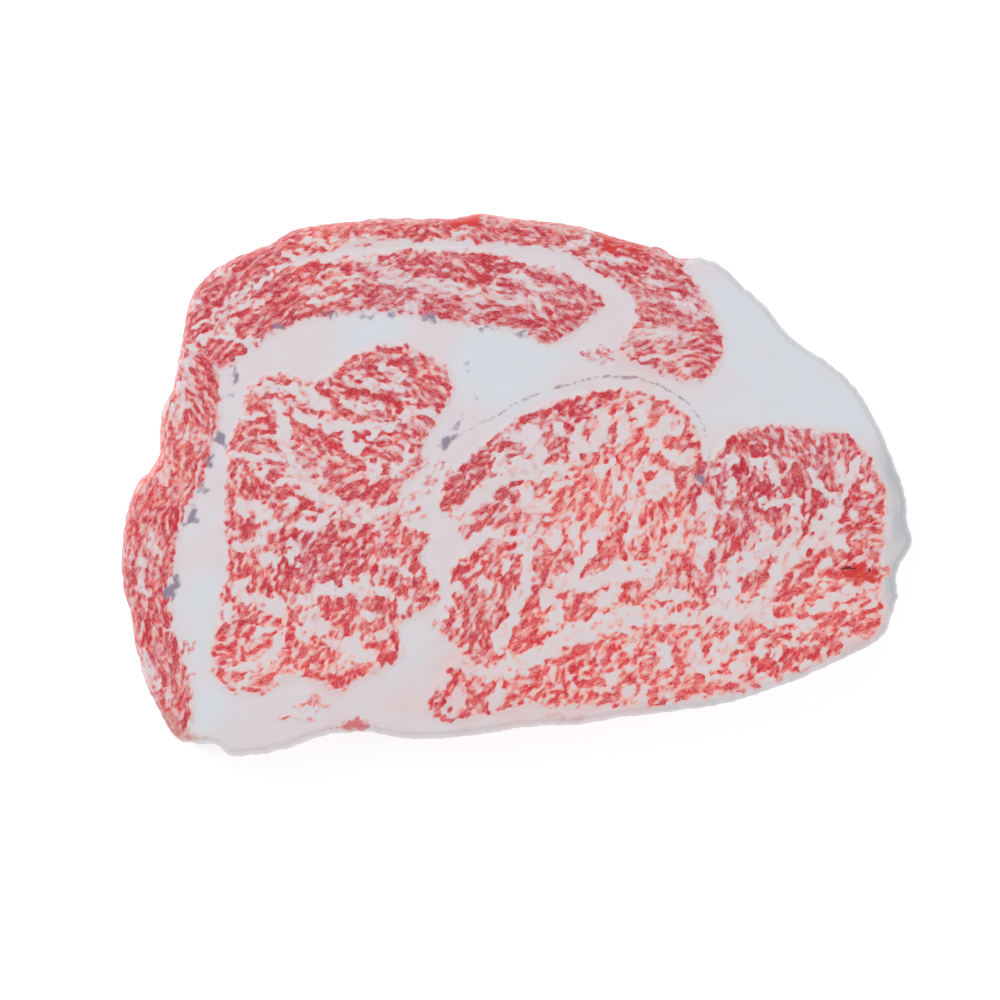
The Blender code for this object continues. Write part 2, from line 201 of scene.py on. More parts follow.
# The larger seams of fat and the larger flecks of lean, as half a width and the points each runs through.
SEAMS = (
    (1.3, -83, 30, -78, 31, -73, 31), (1.9, -72, 31, -66, 29, -61, 25.5),
    (1.7, -76, 27.5, -74.5, 22, -73, 16.5), (1.8, -70, 22.5, -62, 20, -52, 18.7, -40, 18.5),
    (0.9, -86, 22.3, -80, 22.5), (1.8, -76, 16.5, -72.5, 11, -71, 5, -66, -1, -58, -5),
    (1.0, -89, 10, -82, 9.5, -75, 8.5), (1.4, -80.5, 4, -79, 3.6), (1.0, -77, 2, -70, 1.2),
    (1.8, -72.5, -5, -69.5, -5), (1.9, -89, -7.5, -80, -8, -78.5, -13, -76, -13.5),
    (1.9, -54, 17, -53, 12, -49, 12.5), (1.5, -63.5, 3, -61.5, 2.5), (1.2, -45.5, 8, -45.5, 1),
    (1.1, -60, -4, -54, -6.5, -43, -8.5, -38, -6), (0.8, -53, 33.3, -45, 32.6, -36, 30.5),
    (0.9, -56, 27, -50, 25, -42, 24.8), (1.0, -44, 38, -43, 37),
    (1.5, -80, -13, -80, -17, -86, -20, -90, -19), (1.6, -80, -23, -76.5, -25),
    (1.1, -71.5, -17, -71.5, -24), (2.4, -88, -35, -82, -37, -76, -39, -74, -43),
    (1.4, -71, -36.8, -66, -36.5, -63, -33.5, -52, -32.5, -41, -33.5),
    (2.4, -64.5, -41, -67, -47, -60, -45.5), (1.3, -75, -46, -76, -52, -82, -57, -89, -58),
    (1.3, -92, -39, -93, -44), (1.0, -84, -47.5, -76, -46),
    (1.8, -61, -50, -52, -49.5, -49.5, -53, -56, -56), (0.9, -49, -41, -46, -41), (1.4, -50, -50, -47, -56),
    (1.8, -75, -62, -71, -60, -68.5, -64), (1.2, -88, -64, -85, -60), (1.2, -41, 35, -38, 33.5, -36, 36),
    (1.2, -37, 21, -33, 24.5, -27, 23), (1.2, -36, 14, -34, 9, -40, 3.5),
    (1.3, -57, -10, -50, -9.5, -44, -10.5), (1.3, -69, -13, -63, -12.5, -58, -7),
    (1.0, -42, -15.5, -37, -19), (1.2, -43, -24, -38, -24.5, -34, -29), (1.1, -38, -35, -35, -40),
    (1.1, -86, -31.5, -88, -34), (2.2, -5, 9.5, -5.5, 5, -3, 3.5), (2.5, -3, 5, 3, 5, 8.5, 5),
    (2.1, 5.5, 17.5, 6.5, 13, 7, 8), (1.3, -2, 15.5, 3, 16.5, 6, 17.5), (1.6, 12.5, 20, 14, 17),
    (1.6, 20.5, 19, 20, 14, 19.5, 9, 18, 5.5), (1.9, 17, 5.5, 12, 5, 9, 5),
    (1.8, 27, 24, 27.5, 20, 27, 15, 24, 12.5), (1.4, 24, 12.5, 21, 11.5),
    (1.5, 33.8, 24, 33.8, 19, 35, 15, 31, 13), (1.4, 41.5, 25.5, 40.5, 22, 38, 21),
    (1.9, 46, 18.5, 44, 15, 43.5, 12.5), (2.4, 47.5, 21, 49.5, 18.5, 52.5, 18),
    (1.9, 48.5, 10, 52, 8.8, 56.5, 8), (2.2, 42.3, 7, 44, 5.5), (1.1, 46.5, 4.5, 47, 1),
    (1.7, 36.8, 4, 37, -3, 37, -9, 37.5, -15, 37, -19), (2.4, 42.5, -2.5, 46, -0.5, 48.5, -0.5),
    (1.8, 30.5, 8, 29, 5, 25.5, 4.5), (1.0, 32, 3, 32, -3), (1.5, 16.5, 1.5, 12.5, 0),
    (1.4, 3, -1.5, 3.5, -5, 11, -4), (1.8, 3, -8, 7, -9, 10.5, -8),
    (2.0, 5, -12, 4, -18, 3.8, -25, 3, -32, 1, -38, -2, -44, -5, -50), (1.3, -9, -15.5, -3, -15.3, 2, -16),
    (1.7, -10, -15.5, -14, -19, -22, -23), (2.2, -6, 2, -9, -2, -13, -5, -16, -9.5, -19, -13),
    (1.4, -1, 3.5, -7, 1), (1.2, 9, -16.5, 9, -13.5), (1.3, 13, -15, 12, -19),
    (1.4, 18.3, -9.5, 18.5, -16, 19.5, -20),
    (1.7, 28, -9, 27.5, -13, 25, -17, 20, -25, 17.5, -30, 12, -34.5, 9, -38),
    (2.4, 14, -31, 24, -30.8, 31, -28, 38, -26.8, 44, -26, 47, -22), (2.4, 27, -38.5, 30, -35.5, 32, -31.5),
    (1.6, 13, -37, 12.5, -41, 12, -45),
    (2.6, -30, -56, -18, -56.5, -7, -60, 0, -57.5, 7, -54, 12, -50.5, 18, -48, 26, -45, 34, -42, 45, -41.5,
     55, -42.5, 63, -40.5), (1.5, 43.5, -36, 49, -35.5, 54, -36),
    (3.1, 63, -40, 67, -33, 69, -28, 73, -24.5, 79, -20.5), (2.4, 80, -21, 85, -21, 90, -19.5, 96, -18.5),
    (2.2, 88.5, -12.5, 89, -18), (2.4, 97, -13.5, 99, -17, 105, -19.5),
    (2.2, 102, -4.5, 100.5, -8.5, 97, -13), (1.7, 59.5, -3, 61.5, -10, 61, -16, 59.5, -22, 59, -27),
    (1.2, 52.5, -13, 52, -18), (1.3, 48.7, -15, 48.5, -21), (1.6, 68.5, 1.5, 68.5, -3),
    (1.3, 66.5, -7.5, 62.5, -8), (1.4, 66, 8, 70.5, 7.3), (1.6, 76.5, 7.5, 80, 6.5, 82, 4, 83, 0.5),
    (1.4, 77.5, -5.5, 83, -6.5, 88.5, -4.5, 90, -9.5), (1.3, 94.5, 5, 95, 1.5, 98, -1.5, 101, -4),
    (1.5, 109, 8, 107.5, 4, 105.5, 1, 104, -3), (1.3, 111.5, 0, 113, 0),
    (2.2, 79.5, -13.5, 80, -18, 76.5, -21.5), (2.4, 87, -22, 85, -26.5, 81.5, -31),
    (2.6, 80, -33.5, 78, -38, 72.5, -40, 66, -41.5), (2.0, 76, -40.5, 82, -43.5, 89, -43.8, 94, -45),
    (1.8, 107, -34.5, 101, -36.3, 94, -40), (1.5, 114, -31.5, 108, -33), (1.3, 112, -37.8, 115, -37),
    (1.2, 104, -39.3, 107.5, -39), (2.2, 105, -47, 106, -50.5, 111, -51), (1.9, 78.5, -50.5, 78, -54.5),
    (2.3, 70, -47.5, 67.5, -51, 63, -56.5), (1.9, 74, -56.5, 68.5, -60.5),
    (2.0, 56.5, -49, 57.5, -55, 60, -59), (1.3, 46.8, -50, 47, -54, 48, -59), (1.7, 34, -47, 38, -47.5),
    (1.2, 37, -50.5, 35.5, -52), (1.3, 26.5, -65, 31, -61.5, 33, -59), (1.3, 34, -67, 37, -65.5),
    (1.2, 41.5, -65, 40.5, -69.5), (2.8, -22, -62, -26, -64), (2.6, -18, -66.5, -21, -72),
    (2.2, -5, -65.5, -7, -70.5), (1.2, 103.5, 3.5, 103, 8.5), (1.0, 97.5, 13.5, 96, 14.5),
    (1.3, 9, 11.5, 8.5, 9), (1.2, 62.5, 5.5, 61.5, 3.5), (1.3, 40.5, -30, 43, -28),
    (1.4, -17, -32, -21, -33.5), (1.2, -9.5, -30.5, -9, -33), (1.2, -3, -25.5, -3, -28),
    (2.0, -6, -47, -5, -52), (1.2, 15.5, -47, 20, -46), (1.2, 42, -13.5, 42.3, -13), (1.3, 35, 9, 35, 7.5),
    (1.3, 97, -25, 100, -25.5), (1.2, 97, -32, 99, -31.5), (1.4, 89.5, -37.5, 90, -36),
    (1.3, 88.5, -48, 88, -51), (1.2, 92.5, -50, 94, -49.5), (1.4, 91, -57.5, 95, -57),
    (1.2, 82.5, -51, 83, -54), (1.2, 98, -51, 98, -55), (1.3, 102, -12.5, 103, -13),
    (1.2, 77, -62.5, 82, -62), (1.0, 108, -10, 108, -7.5), (1.2, 65, -60, 60.5, -61),
    (0.8, -102.3, 50.7, -96.2, 54.4, -90.6, 59.1, -85.7, 62.8, -80.2, 66.7, -74, 69.5, -70.3, 71),
    (1.8, -72, 74, -70, 72, -64, 72.8),
    (2.2, -61, 72, -54, 72.3, -48, 72.5, -45, 70, -41, 67.5, -35, 65.2, -28, 63.3, -18, 62, -8, 60.8, -2,
     60, 6, 58.3, 10, 56.5), (1.1, -7, 64, -4, 66.8, 2, 66.8, 5, 64.5, 8, 62.8, 14, 62),
    (1.3, -15, 59.5, -14, 56, -16, 53), (1.3, -31, 61.5, -32.5, 58, -34, 55),
    (1.8, -66, 78, -62, 76.5, -58, 77.5), (1.0, -56, 76.5, -50, 78, -46, 79.5, -42, 80.5),
    (1.4, -44, 76.5, -38, 77.5, -33, 76.5), (1.3, -28, 76.3, -20, 76, -12, 76.3, -6, 75.8),
    (1.2, -16, 82, -18, 80, -20, 78), (1.3, 14, 75.5, 20, 77.5, 24, 78.5),
    (1.2, 24, 72.8, 30, 72.5, 36, 71.8), (1.1, 43, 69, 44, 66, 47, 63),
    (1.4, 50.5, 60.5, 53, 57.5, 57, 55.5, 61, 54), (1.7, 38, 49, 45, 48.5, 50, 48.8, 56, 47.5),
    (1.5, 42, 41, 50, 41.5, 54, 43), (1.2, 36, 41.5, 36, 44.5), (1.2, 50, 38.5, 56, 35),
    (1.7, -104.2, 41, -104.4, 33.5, -106.6, 27.4, -109.7, 21.2),
    (1.0, -104.2, 39.7, -102.3, 44.6, -97.4, 48.9, -92.5, 53.2, -87, 58.7),
    (0.9, -99.9, 45.8, -95, 47.7, -88.8, 47, -83.9, 45.2, -80.2, 44.8),
    (0.7, -60.5, 68, -51.9, 66.7, -44.5, 64.9), (0.8, -106, 15.5, -102, 14.5, -99, 15.5),
    (1.2, -112.5, 6, -111.5, 0), (1.2, -117, -15, -115, -20, -112, -24), (1.2, -122, -22, -118.5, -27),
    (1.1, -121, -31, -117, -35), (1.4, -119, -52, -118, -57, -114.5, -62, -111, -66),
    (1.1, -113, -47, -110, -45), (1.2, -67, 61.5, -64, 63, -60, 62), (1.1, -66, 57, -62, 58.5, -56, 60.5),
    (1.2, -62, 66, -56, 65, -50, 64), (1.4, -52, 59.5, -50, 57), (1.2, -84, 56.5, -81, 58),
    (1.3, -88, 56, -85, 60), (1.2, -94, 66.5, -91, 69),
)
FLECKS = (
    (1.3, -84, 31.5, -78, 33, -71, 32.3), (1.5, -68, 31.5, -61, 29, -56.5, 25),
    (1.8, -84.5, 24.3, -81, 24.2), (1.4, -82, 28, -75.8, 28.5), (1.4, -58, 24.5, -51, 20.3),
    (1.1, -73.3, 23.5, -70, 19.5, -65, 18.8), (1.3, -84.5, 19.5, -84.3, 16), (1.2, -80, 20.5, -75.5, 17.5),
    (1.5, -88, 13.5, -80, 13.5), (1.4, -69, 13, -59, 12.3, -55.5, 10.3), (1.1, -64.5, 17.2, -57.5, 15.8),
    (1.3, -53.5, 15.8, -47.5, 15.5), (1.3, -49, 9.5, -42, 10.5, -43.5, 13),
    (1.5, -58.5, 7.5, -58, 1, -56, -1.5), (1.9, -57, -1.5, -46, -2), (1.3, -85, 6, -84.3, -2.5, -80, -3),
    (1.4, -79, 7.8, -76.5, 5, -79, 1), (1.9, -76.5, -1.5, -72, -2), (1.2, -68.5, -2, -65.3, -5, -69, -8),
    (2.3, -90, -12.5, -84, -13), (2.2, -84.5, -23.5, -87, -29.5), (1.8, -74, -23.5, -73, -32),
    (2.1, -70, -26, -66, -31), (1.8, -65, -22, -58, -14.5), (1.9, -50.5, -18.5, -46, -14.5),
    (1.7, -61.5, -30, -56, -28.5), (1.9, -53, -27, -46, -26.5), (2.0, -61.5, -36, -60, -41.5),
    (1.7, -57.5, -37.5, -51, -37), (1.9, -48, -37.5, -41, -38), (2.5, -45, -45.5, -43.5, -44.5),
    (1.9, -68, -53.5, -66.5, -52), (2.0, -58.5, -61.5, -53, -62, -50.5, -58), (1.6, -82, -63.5, -76, -59.5),
    (1.4, -90.3, -52, -89.8, -54.5), (1.0, -91.5, -27, -92.5, -38), (1.5, -44.5, -55.5, -38.5, -56),
    (1.5, -44, -52.5, -41, -51.5), (1.7, -58.5, 36, -52, 38), (1.5, -48.5, 38.5, -46.5, 36.5),
    (1.4, -48, 41, -40, 41.5), (1.5, -42, 29, -35, 26), (1.6, -48.5, 23.2, -43.5, 21.5),
    (1.6, -29, 20, -26.5, 19.5), (1.3, -36, 41, -30, 38), (1.5, -22.5, -2.5, -20, 3),
    (1.8, -24, -7, -21.5, -8), (1.4, -20.5, -5, -14.5, -1.8), (1.5, -14, 8, -9, 7, -9, 3),
    (1.9, -1, 12.5, 1.5, 13), (1.5, 1.5, 21.3, 4.5, 20.3), (1.9, 12, 13.3, 14, 13),
    (2.0, 11.2, 11, 10.8, 8), (1.4, 16.5, 19.5, 17, 15.5), (1.4, 7.5, 15.2, 12, 14), (1.5, 1, 1, 4.5, 1),
    (1.8, -6, -3.3, -1, -3), (1.5, 44.5, 23.5, 43.5, 19), (1.4, 46.5, 14, 53, 14), (1.1, 54, 16, 55.5, 15),
    (1.5, 29.5, 16.8, 32.5, 17.2), (1.4, 23, 9, 28, 9), (1.5, 30.5, 2.3, 26.5, 0, 27.5, -4),
    (2.2, 51.5, 5, 53, -3, 51.5, -9), (1.5, 55, -3, 56.5, -8), (1.7, 41, 3.3, 45, 2.5),
    (1.2, 42, 9.5, 47.8, 6), (1.6, 45, -5, 48.5, -9.5), (1.4, 57.5, -1, 57.5, -3),
    (1.6, 69, 11.5, 71.5, 13), (1.5, 73, 7, 70.5, 1.5), (1.4, 66, 4, 66, -1), (1.6, 76, 2, 75.5, -4.5),
    (1.3, 76.5, -4, 81, 1), (1.6, 76, 11.5, 79, 10.8), (1.6, 83, 15.5, 85, 11), (1.4, 75, 16.3, 77.5, 15.5),
    (1.4, 89.5, 7, 89, 0), (1.4, 92, 8.5, 92, 0.5), (1.6, 87, 2, 87, -1.5), (2.1, 106, 14, 107.5, 13),
    (1.3, 100, 15, 100.5, 12), (1.6, 99, 6, 106.5, 6.5), (1.2, 99, 5, 97, 2), (2.0, 111, 3.3, 114, 2.7),
    (1.3, 115.3, 1, 113.5, -2), (1.5, 95.5, -1.5, 95.5, -5), (1.5, 92.3, -5, 92.5, -8.5),
    (1.4, 96.5, -5, 98, -8), (1.7, 67, -14.5, 69, -14), (1.7, 85.7, -14, 84.3, -17.5),
    (1.5, 78, -8, 82.5, -10.5), (1.5, 73.5, -10.5, 72, -17), (1.5, 62, -21, 62, -26, 62.8, -29),
    (1.6, 69.5, -22, 70.5, -20.5), (1.6, 31.5, -23.5, 32.5, -22.5), (1.9, 29.5, -17, 26, -22, 22.5, -28),
    (1.3, 34, -14, 31.5, -19.5), (1.9, 6.5, -35.5, 0.5, -45.5), (1.6, 9.5, -40.5, 1.5, -47.5, -2.5, -52),
    (1.4, 4, -48, 9, -47.5), (1.1, 8.5, -49.8, 0, -54), (1.7, -3, -55, -3.8, -57.5),
    (2.2, -11.5, -33, -12.5, -38), (1.6, -16, -39, -15, -48, -17.3, -51), (1.8, -13, -48.5, -10, -47.5),
    (1.4, -13, -43.5, -9, -44), (1.7, -20, -26, -18, -25), (1.8, -13.5, -21.5, -12.5, -24),
    (1.6, -9, -21.5, -6, -24), (1.5, 1, -24.5, -0.5, -29, -3.5, -33), (1.7, -5.5, -37.5, -4, -40),
    (1.5, 8, -23, 6, -28), (1.3, 13, -22, 9, -25.5), (1.2, 17, -22, 17, -25), (1.4, 19.5, -34.5, 24, -33.6),
    (1.3, 15, -43.5, 19, -39.5, 24, -39.3), (1.2, 20, -42.5, 24.5, -41), (1.6, 35.5, -31, 34, -37),
    (1.6, 39, -31.5, 41, -30), (1.5, 48, -27.5, 49.5, -27.3), (1.2, 45, -32, 53, -31.5),
    (1.5, 77.5, -25, 77, -31), (1.4, 73, -33, 79, -31.5), (1.5, 92, -25, 93, -28),
    (1.3, 94, -22, 96, -24.5), (1.4, 101.5, -32.5, 104.5, -33.3), (1.5, 102, -42.5, 104.5, -43.3),
    (1.2, 95.5, -42.3, 101.5, -39.6), (1.3, 83, -40, 87, -42.3), (1.3, 90, -41.8, 93.3, -39),
    (1.7, 74.5, -47, 74, -52.5), (1.6, 92, -53.5, 95, -52), (1.5, 85.5, -53.5, 90, -54.3),
    (1.4, 96, -47.7, 99.5, -49), (1.4, 87, -56.5, 88, -59.5), (1.5, 43.7, -54, 45, -56.5),
    (1.4, 49.5, -51.5, 49.7, -54.5), (1.3, 52.5, -55.5, 52, -58), (1.4, 60, -48.5, 60, -51),
    (1.3, 65.5, -47.5, 71, -43.3), (1.8, 60.5, -64.5, 63, -65.5), (1.6, 52, -66.7, 58, -64),
    (1.3, 58.7, -60.3, 58, -63), (1.3, 63.5, -60, 64, -61.5), (1.3, 33.7, -49.5, 29, -54, 31, -58.5),
    (1.4, 34.5, -61, 37, -61.5), (1.2, 33, -65.5, 26.5, -70), (1.2, 39.3, -64.5, 38, -69.5),
    (1.2, 49, -61, 51, -63), (1.4, 5.5, -60.5, 10.5, -56.5), (1.4, 15, -55.5, 21, -52),
    (1.3, 17.5, -59, 21, -58.3), (1.4, 14.5, -61.5, 16, -64), (1.4, 3.5, -67, 1, -68),
    (1.3, 19.5, -68, 22, -69), (1.3, -4.5, -71, -2, -67), (1.3, -14.5, -65.5, -13, -68),
    (1.3, -10.5, -72, -9, -70.5), (1.3, 11, -68.5, 14, -67.8), (1.2, 106.5, -53.5, 109.5, -52.8),
    (1.3, 109, -35, 111, -36), (1.1, 112, -14.8, 117, -12.5), (1.3, 108, -19.3, 111, -19.5),
    (1.2, 103, -16.8, 107, -15.2), (1.2, 101.5, -12, 103.5, -10.3), (1.5, 113, -22, 114.5, -23),
    (1.9, -78, 75.5, -74, 77, -70, 76), (1.7, -70, 81, -66, 80.5), (1.4, -76, 71, -73, 71),
    (1.5, -92, 60.5, -88, 61.5), (1.4, -97, 56.5, -94, 59), (0.9, -64, 78, -58, 79.5, -53, 80),
    (1.2, -58, 82, -50, 82), (1.3, -45, 74, -40, 74.5, -36, 73), (1.1, -54, 74, -50, 75, -46, 76),
    (1.6, -37, 70, -33, 69, -29, 68), (1.2, -54, 67, -46, 66.7), (0.8, -46, 65.3, -36, 64.8),
    (1.3, -57, 69.8, -47, 69), (1.1, -51, 61.5, -44, 61.5), (0.9, -58, 62, -52, 63),
    (1.3, -35, 61.8, -31, 60.5), (1.2, -48, 59.5, -38, 60), (1.4, -30, 58.5, -22, 57.5),
    (1.5, -28, 67, -20, 67), (1.3, -12, 65.5, -8, 64.3), (1.3, -5, 63.5, -1, 65), (1.1, 2, 61.2, 6, 61.5),
    (1.5, 5, 67, 14, 65, 22, 64), (1.4, -18, 57, -15, 56.5), (1.9, -2, 56, 1, 53),
    (1.4, -78, 52, -74, 52.5), (1.5, -90, 49.5, -88, 50), (1.1, 17, 61, 26, 60.5), (1.1, 16, 56, 26, 55.7),
    (1.2, -83, 47, -80, 49), (1.2, -108, 33, -111.5, 24.5, -113, 19), (1.0, -106.5, 25, -108, 22),
    (1.5, -113, -60, -111, -62.5), (1.9, -108, -69, -106.5, -70), (1.4, -117, -44, -118.5, -40),
    (1.4, -115, -33, -114, -31), (1.4, -117, -5, -119, -9), (1.3, -121, -25.5, -120, -27),
    (1.2, 38, 58, 41, 57, 46, 57.5), (1.2, 36.5, 64, 38.5, 61), (1.2, 33, 69, 39, 67),
    (1.2, 55, 57.5, 59, 56.5), (1.2, 47.5, 60, 52, 55, 58, 51), (1.1, 32, 48, 38, 52),
    (1.1, 46, 46, 48, 47), (1.1, 56, 46, 58, 43), (1.1, 60.5, 45, 62, 43), (1.1, 55, 39, 57, 37),
    (1.0, 36, 44.5, 40, 44.5),
)
# Small flecks of lean that lie out in the fat between the muscles, drawn in the same way.
STRAY_FLECKS = (
    (0.9, -34.8, -3.2, -31.3, -1), (0.9, -35.2, -4.9, -31.4, -3.6), (0.9, -37.2, -6.4, -36.3, -4.7),
    (0.7, -30.1, -2.5, -25.8, 0.1), (0.8, -28.2, 0.8, -25.1, 1.9), (0.8, -30.6, -9.9, -29, -8.2),
    (1.0, -38.7, -10.9, -35.9, -9.7, -33.7, -8.4, -31.9, -7.1), (0.6, -26, 3.8, -29, 1.6),
    (0.8, -40.2, -18.5, -39.8, -16.3, -37.8, -15.2, -35.9, -14.1),
    (1.0, -37, -19, -34.1, -16.8, -30.8, -15.7, -29, -17.6, -26.6, -17.4), (0.7, -22, 9, -25.5, 5.5),
    (0.7, -20, 6, -22.5, 3), (0.7, -29, 8, -31, 4), (0.7, -35, -8, -33, -11),
    (0.8, 21.5, 41, 25, 41.6, 30.5, 42.2), (0.7, 24, 43, 28.5, 44.2), (0.6, 27, 39.5, 32, 39.6),
    (0.9, -27.5, -32, -25, -31, -23.5, -33), (0.9, -27, -36, -26, -37),
    (0.9, -22, -39, -20, -41, -18.5, -41), (0.8, -27, -44, -26, -45), (0.8, -22, -45, -21.5, -46),
    (0.8, -20, -60, -19, -61), (0.6, -16, -61, -21, -66), (0.6, -20, -65, -26, -70),
    (0.8, -104, -50, -106, -54), (0.9, -103, -60, -106, -63), (0.8, 66, -32, 67, -31),
    (1.0, -86, 50.5, -88, 52), (1.1, -96, 50, -91, 53.5, -89, 57), (0.9, -95, 48.5, -97, 50),
    (0.9, -90, 58, -88, 55), (1.4, -68.5, -70, -65, -67.8, -61, -70.5),
    (0.7, -77.5, -74.6, -73, -73.6, -69.2, -72.6), (0.9, -67, -74.6, -64, -75),
    (0.5, 117.3, -16.7, 116.5, -20.3, 115.4, -22), (0.5, 114.4, -30.4, 115.4, -32.3, 115.4, -34),
    (0.5, 119.3, -24.8, 117.8, -27.2, 115.5, -30),
)

# Clumps, bunches and streaks of flecks, by their width, length and largest size.
CLUMP_SIZE = (1.8, 2.6, 10.0)
BUNCH_SIZE = (0.95, 1.9, 5.0)
STREAK_SIZE = (1.0, 6.0, 8.0)
# Curly strands, by how far apart they lie, how much that varies and how straight they run.
STRAND_CURL = (4.2, 0.45, 0.78)
TWIST_CURL = (2.4, 0.42, 0.75)
RIPPLE_CURL = (1.9, 0.4, 0.6)
# The thin walls of fat round the clumps in the eyes, and those along the fibres of the thin muscles, in
# the same way. A wall stands where its pattern, which has a spread of 1, is this near to 0.
CLUMP_WALLS = (9.0, 0.35, 0.3)
FIBRE_WALLS = (5.4, 0.4, 0.97)
CLUMP_WALL_WIDTH = 0.3
FIBRE_WALL_WIDTH = 0.22
# How fast waves shorter than a cloud's lumps, and shorter than a fleck, fade out.
CLOUD_FADE = 1.1
FLECK_FADE = 2.2

# Where the lean stands closest, as a size and a place.
DENSE_MEAT = (
    (15, 90, 2), (10, 72, 4), (12, 106, -42), (9, -60, -14), (8, -60, -38), (18, -50, 64), (14, -82, 60),
    (14, -10, 62),
)

# The heights of the cut face: the fat, how far a muscle swells out of it, the relief of its flecks and the
# unevenness of the whole face. On the back the fat lies this far above the muscles.
FAT_FACE = 29.2
SWELL = 0.5
FLECK_RELIEF = 0.12
FACE_CLOUD = 0.07
BACK_REST = 0.15
# A muscle's piece runs on this far under the fat, and comes no nearer to the rim than this.
HIDDEN_EDGE = 2.4
RIM_MARGIN = 1.2
# The wall is rounded at the top and at the bottom. The higher its squareness, the tighter a rounding is.
RIM_ROUNDING = 3.0
RIM_SQUARENESS = 2.8
BACK_ROUNDING = 2.4
BACK_SQUARENESS = 6
WALL_MIDDLE = 14.0


def closed_curve(points, step):
    """A smooth closed line through the points, cut into equal steps. It is a Catmull-Rom curve."""
    after = np.array(points, float)
    before, last, beyond = (np.roll(after, k, axis=0) for k in (2, 1, -1))
    t = np.linspace(0, 1, CURVE_STEPS, endpoint=False)[:, None, None]
    dense = 0.5 * (
        2 * last
        + (after - before) * t
        + (2 * before - 5 * last + 4 * after - beyond) * t**2
        + (3 * last - before - 3 * after + beyond) * t**3
    )
    dense = dense.transpose(1, 0, 2).reshape(-1, 2)
    loop = np.vstack([dense, dense[:1]])
    along = np.concatenate([[0], np.cumsum(np.linalg.norm(np.diff(loop, axis=0), axis=1))])
    places = np.linspace(0, along[-1], round(along[-1] / step), endpoint=False)
    return np.column_stack([np.interp(places, along, loop[:, k]) for k in (0, 1)])


rim = closed_curve(RIM, RIM_STEP)
middle = (rim.min(axis=0) + rim.max(axis=0)) / 2
scale = MM * STEAK_WIDTH / np.ptp(rim[:, 0])


def placed(x, y, height):
    """Points of the cut face and heights, in millimetres, as corners in metres in the part's own frame."""
    across = [(values.ravel() - centre) * scale for values, centre in ((x, middle[0]), (y, middle[1]))]
    return np.column_stack([*across, height.ravel() * MM])


def eased(value, low, high):
    """0 below low, 1 above high and an even S between them."""
    t = np.clip((value - low) / (high - low), 0, 1)
    return t * t * (3 - 2 * t)


def depth_inside(outline, x, y):
    """The distance to a closed outline, positive inside it."""
    near = np.full(x.shape, 1e9)
    inside = np.zeros(x.shape, bool)
    for (ax, ay), (bx, by) in zip(outline, np.roll(outline, -1, axis=0)):
        dx, dy = bx - ax, by - ay
        t = np.clip(((x - ax) * dx + (y - ay) * dy) / (dx * dx + dy * dy), 0, 1)
        near = np.minimum(near, (x - ax - t * dx) ** 2 + (y - ay - t * dy) ** 2)
        if ay != by:
            inside ^= ((ay > y) != (by > y)) & (x < (bx - ax) * (y - ay) / (by - ay) + ax)
    return np.where(inside, 1, -1) * np.sqrt(near)


def brushed(strokes, x, y, taper=0.45, reach=9.0):
    """How deep each point lies inside the nearest stroke, negative outside. A stroke thins to its ends."""
    deep = np.full(x.shape, -reach)
    for half_width, *numbers in strokes:
        path = np.array(numbers, float).reshape(-1, 2)
        run = np.concatenate([[0], np.cumsum(np.linalg.norm(np.diff(path, axis=0), axis=1))])
        for k, ((ax, ay), (bx, by)) in enumerate(zip(path, path[1:])):
            close = np.abs(x - (ax + bx) / 2) < abs(bx - ax) / 2 + reach
            close &= np.abs(y - (ay + by) / 2) < abs(by - ay) / 2 + reach
            px, py, dx, dy = x[close] - ax, y[close] - ay, bx - ax, by - ay
            t = np.clip((px * dx + py * dy) / (dx * dx + dy * dy), 0, 1)
            share = (run[k] + t * (run[k + 1] - run[k])) / run[-1]
            width = half_width * (1 - taper * np.abs(2 * share - 1) ** 3)
            deep[close] = np.maximum(deep[close], width - np.hypot(px - t * dx, py - t * dy))
    return deep


# The map is a grid of squares over the cut face, which reaches this far to each side of its middle. Every
# pattern is worked out on it once, and the pieces are cut from it.
MAP_REACH = (131, 91)
map_x, map_y = np.meshgrid(*[np.arange(-reach, reach, MAP_STEP) for reach in MAP_REACH], indexing="ij")
wave_x, wave_y = np.meshgrid(*[np.fft.fftfreq(count, MAP_STEP) for count in map_x.shape], indexing="ij")


def levelled(pattern):
    """The pattern with an average of 0 and a spread of 1."""
    return (pattern - pattern.mean()) / pattern.std()


def white_noise(seed):
    """White noise over the map, as waves."""
    return np.fft.fft2(np.random.default_rng(seed).standard_normal(map_x.shape))


def cloud(seed, size):
    """Soft random lumps about a size across: white noise with its short waves faded out."""
    kept = np.exp(-(wave_x**2 + wave_y**2) * (CLOUD_FADE * size) ** 2)
    return levelled(np.fft.ifft2(white_noise(seed) * kept).real)


def patches(spots):
    """1 in the middle of each round patch, fading out over its own size."""
    bare = np.ones_like(map_x)
    for size, x, y in spots:
        bare = bare * (1 - np.exp(-((map_x - x) ** 2 + (map_y - y) ** 2) / (2 * size**2)))
    return 1 - bare


def fibre_direction(reach=9.0, far=1e-9, waver=0.25):
    """The fibres' angle all over the map: the directions read off the face, averaged as double angles.
    Each weighs most within its reach, and a little far away."""
    cosine, sine = np.zeros_like(map_x), np.zeros_like(map_x)
    for x, y, degrees in FIBRES:
        apart = (map_x - x) ** 2 + (map_y - y) ** 2
        weight = np.exp(-apart / (2 * reach**2)) + far / (1 + apart)
        cosine += weight * np.cos(2 * np.radians(degrees))
        sine += weight * np.sin(2 * np.radians(degrees))
    return 0.5 * np.arctan2(sine, cosine) + waver * cloud(15, 6)


fibre_angle = fibre_direction()


